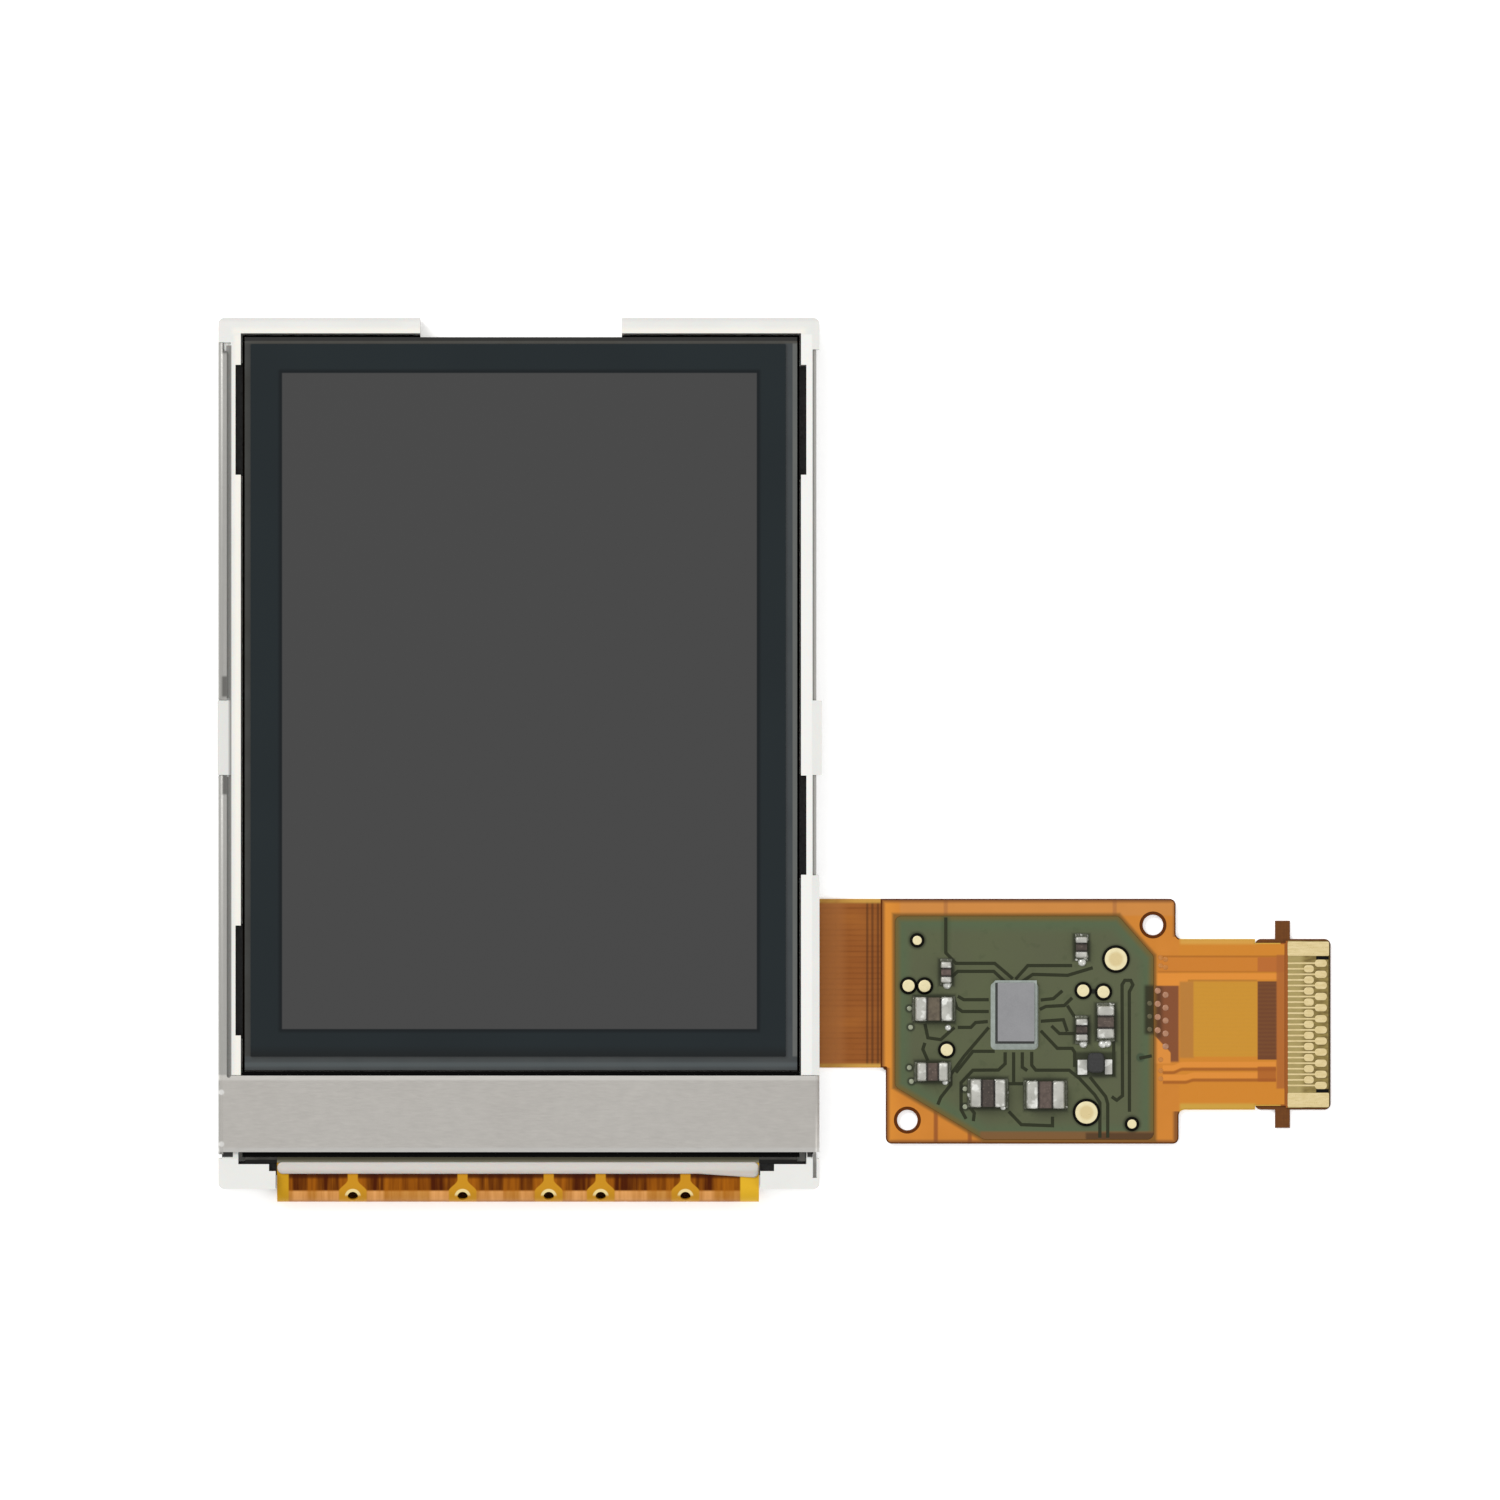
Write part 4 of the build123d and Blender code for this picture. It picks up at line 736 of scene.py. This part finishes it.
spread = step(plate_tree, "GeometryNodeInstanceOnPoints", {"Points": given["Places"], "Instance": closed[0]})
plain = step(plate_tree, "GeometryNodeRealizeInstances", {0: spread[0]})
coated = step(plate_tree, "GeometryNodeSetMaterial", {"Geometry": plain[0], "Material": given["Material"]})
plate_tree.links.new(coated[0], result[0])

contact = Finish("contact_gold", "ead6a2", roughness=0.3, metallic=0.2)
contact.lay(contact.noise(5, stretch=(0.4, 1.5, 1)), "cfb878", 0.6)
contact.rough(contact.noise(7, low=0.24, high=0.4))
contact.bump(contact.noise(9, stretch=(0.3, 1.5, 1)), 0.003)
low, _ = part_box("contact_fingers")
base = low.z / MM
front_x, rear_x, tongue_y, pitch = 50.95, 50.19, -17.215, 0.706
front = [(front_x, tongue_y + pitch * (n - 5.5)) for n in range(12)]
rear = [(rear_x, tongue_y + pitch * (n - 5)) for n in range(11)]
pad_width, pad_corner, thick = 0.46, 0.2, 0.03
pads_front = repeated("front_contacts", front, base, plate_tree, contact, "gold_plate",
                      Length=0.76, Width=pad_width, Corner=pad_corner, Height=thick)
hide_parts("contact_fingers")
repeated("rear_contacts", rear, base, plate_tree, contact, "gold_plate",
         Length=0.62, Width=pad_width, Corner=pad_corner, Height=thick)
front_tracks = [(49.72, y) for _, y in front]
rear_tracks = [(49.36, y) for _, y in rear]
track_width, track_corner, track_height = 0.11, 0.01, 0.02
repeated("front_tracks", front_tracks, base, plate_tree, contact, "gold_plate",
         Length=1.74, Width=track_width, Corner=track_corner, Height=track_height)
repeated("rear_tracks", rear_tracks, base, plate_tree, contact, "gold_plate",
         Length=1.02, Width=track_width, Corner=track_corner, Height=track_height)
end_x, end_offset = 50.155, 4.805
wide = [(end_x, tongue_y + side * end_offset) for side in (-1, 1)]
repeated("end_lands", wide, base, plate_tree, contact, "gold_plate",
         Length=2.63, Width=0.90, Corner=0.08, Height=thick)

# Chip capacitors: fired ceramic blocks, brown-grey and slightly speckled, with rounded tinned ends. The ends
# are dipped, so each has soft corners and stands a little proud of the ceramic.
TERMINAL_SHARE = 0.31
fired_tones = ("6a5a54", "6a6050", "5e5048", "4a423c", "685a52", "50463f", "4c423c", "5c5048")
for number, (code, (x, y, length, _, _, upright)) in enumerate(zip(fired_tones, chips), 1):
    ceramic = Finish(f"fired_ceramic_{number}", code, roughness=0.5, Specular_IOR_Level=0.25)
    ceramic.lay(ceramic.noise(3, detail=3.0), "2e2825", 0.5)
    ceramic.lay(ceramic.ramp(ceramic.noise(9), 0.75, 1.0), "8c7c70", 0.4)
    (chip_x, chip_y), = board((x, y))
    along = ceramic.maths("SUBTRACT", ceramic.y if upright else ceramic.x, chip_y if upright else chip_x)
    bare_half = length * (0.5 - TERMINAL_SHARE)
    # Painted shade on the ceramic next to the proud tinned ends
    seam_shade = ceramic.ramp(ceramic.maths("ABSOLUTE", along), bare_half - 0.16, bare_half - 0.02)
    ceramic.lay(seam_shade, "14100d", 0.8)
    ceramic.bump(ceramic.noise(12), 0.003).on(f"capacitor_{number}")
    soften(f"capacitor_{number}", 0.03)


def ends():
    """Middle, half sizes and height of every tinned end, with the direction that it faces."""
    proud = 0.02
    for x, y, length, width, height, upright in chips:
        (chip_x, chip_y), = board((x, y))
        for side in (-1, 1):
            half_along = length * TERMINAL_SHARE / 2
            offset = side * (length / 2 - half_along)
            if upright:
                yield chip_x, chip_y + offset, width / 2 + proud, half_along, height + proud, (0, side)
            else:
                yield chip_x + offset, chip_y, half_along, width / 2 + proud, height + proud, (side, 0)


def loft(bm, rings, sides=5):
    """Closed stack of rounded rectangles: middle x, y, half length and width, corner radius, height."""
    loops = []
    for x, y, half_x, half_y, corner, height in rings:
        loop = []
        for number, (sx, sy) in enumerate(((1, 1), (-1, 1), (-1, -1), (1, -1))):
            arc_x, arc_y = x + sx * (half_x - corner), y + sy * (half_y - corner)
            for n in range(sides):
                turn = pi / 2 * (number + n / (sides - 1))
                loop.append(bm.verts.new(((arc_x + corner * cos(turn)) * MM,
                                          (arc_y + corner * sin(turn)) * MM, height * MM)))
        loops.append(loop)
    for under, over in zip(loops, loops[1:]):
        for n in range(len(under)):
            m = (n + 1) % len(under)
            bm.faces.new((under[n], under[m], over[m], over[n]))
    bm.faces.new(list(reversed(loops[0])))
    bm.faces.new(loops[-1])


tin = Finish("bright_tin", "c6c5bd", roughness=0.34, metallic=0.3)
tin.lay(tin.noise(1.3, detail=1.5), "a4a49c", 0.65)
# Painted highlights in soft patches
tin.lay(tin.ramp(tin.noise(1.5), 0.6, 0.9), "f6f6f0", 0.75)
tin.rough(tin.noise(5, low=0.24, high=0.48))
tin.bump(tin.noise(1.8, detail=1.5), 0.02)
bm = bmesh.new()
for x, y, half_x, half_y, height, _ in ends():
    r = 0.6 * min(half_x, half_y)
    loft(bm, [(x, y, half_x - drawn, half_y - drawn, max(r - drawn, 0.03), TOP + rise)
              for drawn, rise in ((0.03, 0), (0, 0.04), (0, height - 0.16), (0.03, height - 0.07),
                                  (0.08, height - 0.02), (0.15, height))])
tinned = kept("tinned_ends", bm, tin)
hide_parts("capacitor_terminals")

# Solder: a concave fillet that climbs each tinned end from its land, drawn out towards the land's free side,
# and a few round blobs and beads where more solder was printed.
solder = Finish("bright_solder", "6a6c5e", roughness=0.2, metallic=0.5)
solder.lay(solder.noise(2.6, detail=3.0), "4c4f40", 0.7)
# Painted highlights as bright specks
solder.lay(solder.ramp(solder.noise(2.6), 0.78, 0.95), "f2f2ea", 0.7)
solder.lay(solder.ramp(solder.z, 0.34, 0.46), "c4c5bc", 0.7)
solder.bump(solder.noise(4), 0.03)
low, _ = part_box("solder_joints")
joint_floor = low.z / MM
REACH, SIDE, CLIMB, CORNER = 0.22, 0.06, 0.5, 0.1
# Share of the reach and of the chip's height, from the land up
steps = ((1.0, 0.0), (1.0, 0.012), (0.98, 0.05), (0.55, 0.1), (0.25, 0.2), (0.06, 0.4), (-0.1, CLIMB))
bm = bmesh.new()
for x, y, half_x, half_y, height, (dx, dy) in ends():
    grow_x, grow_y = (SIDE if dx == 0 else REACH / 2), (SIDE if dy == 0 else REACH / 2)
    loft(bm, [(x + dx * grow_x * share, y + dy * grow_y * share, half_x + grow_x * share,
               half_y + grow_y * share, CORNER, joint_floor + rise * height) for share, rise in steps])
fillets = kept("solder_fillets", bm, solder)
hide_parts("solder_joints")
blob = Finish("solder_blob", "e9eae4", roughness=0.2, metallic=0.35)
blob.lay(blob.noise(3), "b2b3ab", 0.6)
blobs = board((-5.16, 2.30), (3.42, 3.75), (3.50, -1.44), (4.72, -1.46), (5.02, -1.40))
beads = board((-5.10, -0.40), (-5.28, -3.86), (2.20, -5.40), (-1.60, -5.45), (-3.40, -5.10))
repeated("solder_blobs", blobs, TOP, dome_tree, blob, "solder", Radius=0.26, Height=0.20)
repeated("solder_beads", beads, TOP, dome_tree, blob, "solder", Radius=0.20, Height=0.16)

# Backlight driver: a grey chip-scale package, its face ground flat, on a pale underfill that stands up round
# it as a rim. A dark gap of painted shade shows at its left and lower side.
package = Finish("chip_package", "8b8b8d", roughness=0.4)
package.lay(package.noise(10), "7f7f82", 0.5)
package.lay(package.noise(0.7), "98989a", 0.4)
package.bump(package.noise(14), 0.001).on("backlight_ic")
soften("backlight_ic", 0.03)
rim_fill = Finish("underfill_rim", "a3aca6", roughness=0.4)
rim_fill.lay(rim_fill.noise(3), "8e978f", 0.6)
low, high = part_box("backlight_ic")
left, right, bottom, top_edge = low.x / MM, high.x / MM, low.y / MM, high.y / MM
out, under = 0.16, 0.05
gap_shade = rim_fill.maths("MAXIMUM", rim_fill.patch(left - out, left + under, bottom - out, top_edge, 0.04),
                     rim_fill.patch(left - out, right, bottom - out, bottom + under, 0.04))
rim_fill.lay(gap_shade, "1f201e", 0.95)
rim_fill.bump(rim_fill.noise(4), 0.01).on("ic_underfill")

# Choke: small black moulded part with two flat tinned leads that are soldered to the board. Its top has a
# painted highlight of dull grey.
moulding = Finish("black_moulding", "1b1b1b", roughness=0.45, Specular_IOR_Level=0.25)
moulding.lay(moulding.noise(6), "3a3a3a", 0.5)
# Painted highlight: lighter grey towards the top
moulding.lay(moulding.ramp(moulding.z, 0.5, 0.66), "424242", 0.5)
moulding.bump(moulding.noise(12), 0.004).on("choke")
soften("choke", 0.05)
tin.on("choke_leads")
soften("choke_leads", 0.03)

# Table, light and camera: a white table that glows faintly, a soft room, a large light at the upper left with
# a weaker one opposite, and a long lens straight above.
table_gap = 0.01 * MM
table_z = cad_box[0].z - table_gap
middle = Vector((14.67 * MM, 0.22 * MM, 1.5 * MM))
view_width = 95.25 * MM
half_table = 1.2
corners = [(x * half_table, y * half_table) for x, y in ((-1, -1), (1, -1), (1, 1), (-1, 1))]
mesh = bpy.data.meshes.new("table_top")
mesh.from_pydata([(x, y, table_z) for x, y in corners], [], [(0, 1, 2, 3)])
table = bpy.data.objects.new("table_top", mesh)
bpy.context.collection.objects.link(table)
paper = Finish("white_table", "fefefe", roughness=0.9)
paper.shader.inputs["Base Color"].default_value = (0.98, 0.98, 0.98, 1)
paper.shader.inputs["Emission Color"].default_value = (1, 1, 1, 1)
table_glow, room_light = 0.3, 0.75
paper.shader.inputs["Emission Strength"].default_value = table_glow
paper.on(table)

world = bpy.data.worlds.new("soft_room")
bpy.context.scene.world = world
world.use_nodes = True
room = world.node_tree.nodes["Background"]
room.inputs["Color"].default_value = (1, 1, 1, 1)
room.inputs["Strength"].default_value = room_light


def lamp_panel(name, place, size, power):
    """Square soft light that faces the part."""
    light = bpy.data.lights.new(name, "AREA")
    light.shape = "SQUARE"
    light.size = size
    light.energy = power
    panel = bpy.data.objects.new(name, light)
    bpy.context.collection.objects.link(panel)
    panel.location = place
    panel.rotation_euler = (middle - Vector(place)).to_track_quat("-Z", "Y").to_euler()


lamp_panel("window_light", (-0.45, 0.50, 0.60), 0.45, 5.0)
lamp_panel("fill_light", (0.55, -0.40, 0.50), 0.5, 1.6)

lens = bpy.data.cameras.new("camera")
lens.sensor_width = 36
distance = 1.6
lens.lens = lens.sensor_width * (distance - middle.z) / view_width
lens.clip_end = 10
camera = bpy.data.objects.new("camera", lens)
bpy.context.collection.objects.link(camera)
camera.location = (middle.x, middle.y, distance)
bpy.context.scene.camera = camera
bpy.context.scene.view_settings.view_transform = "Standard"
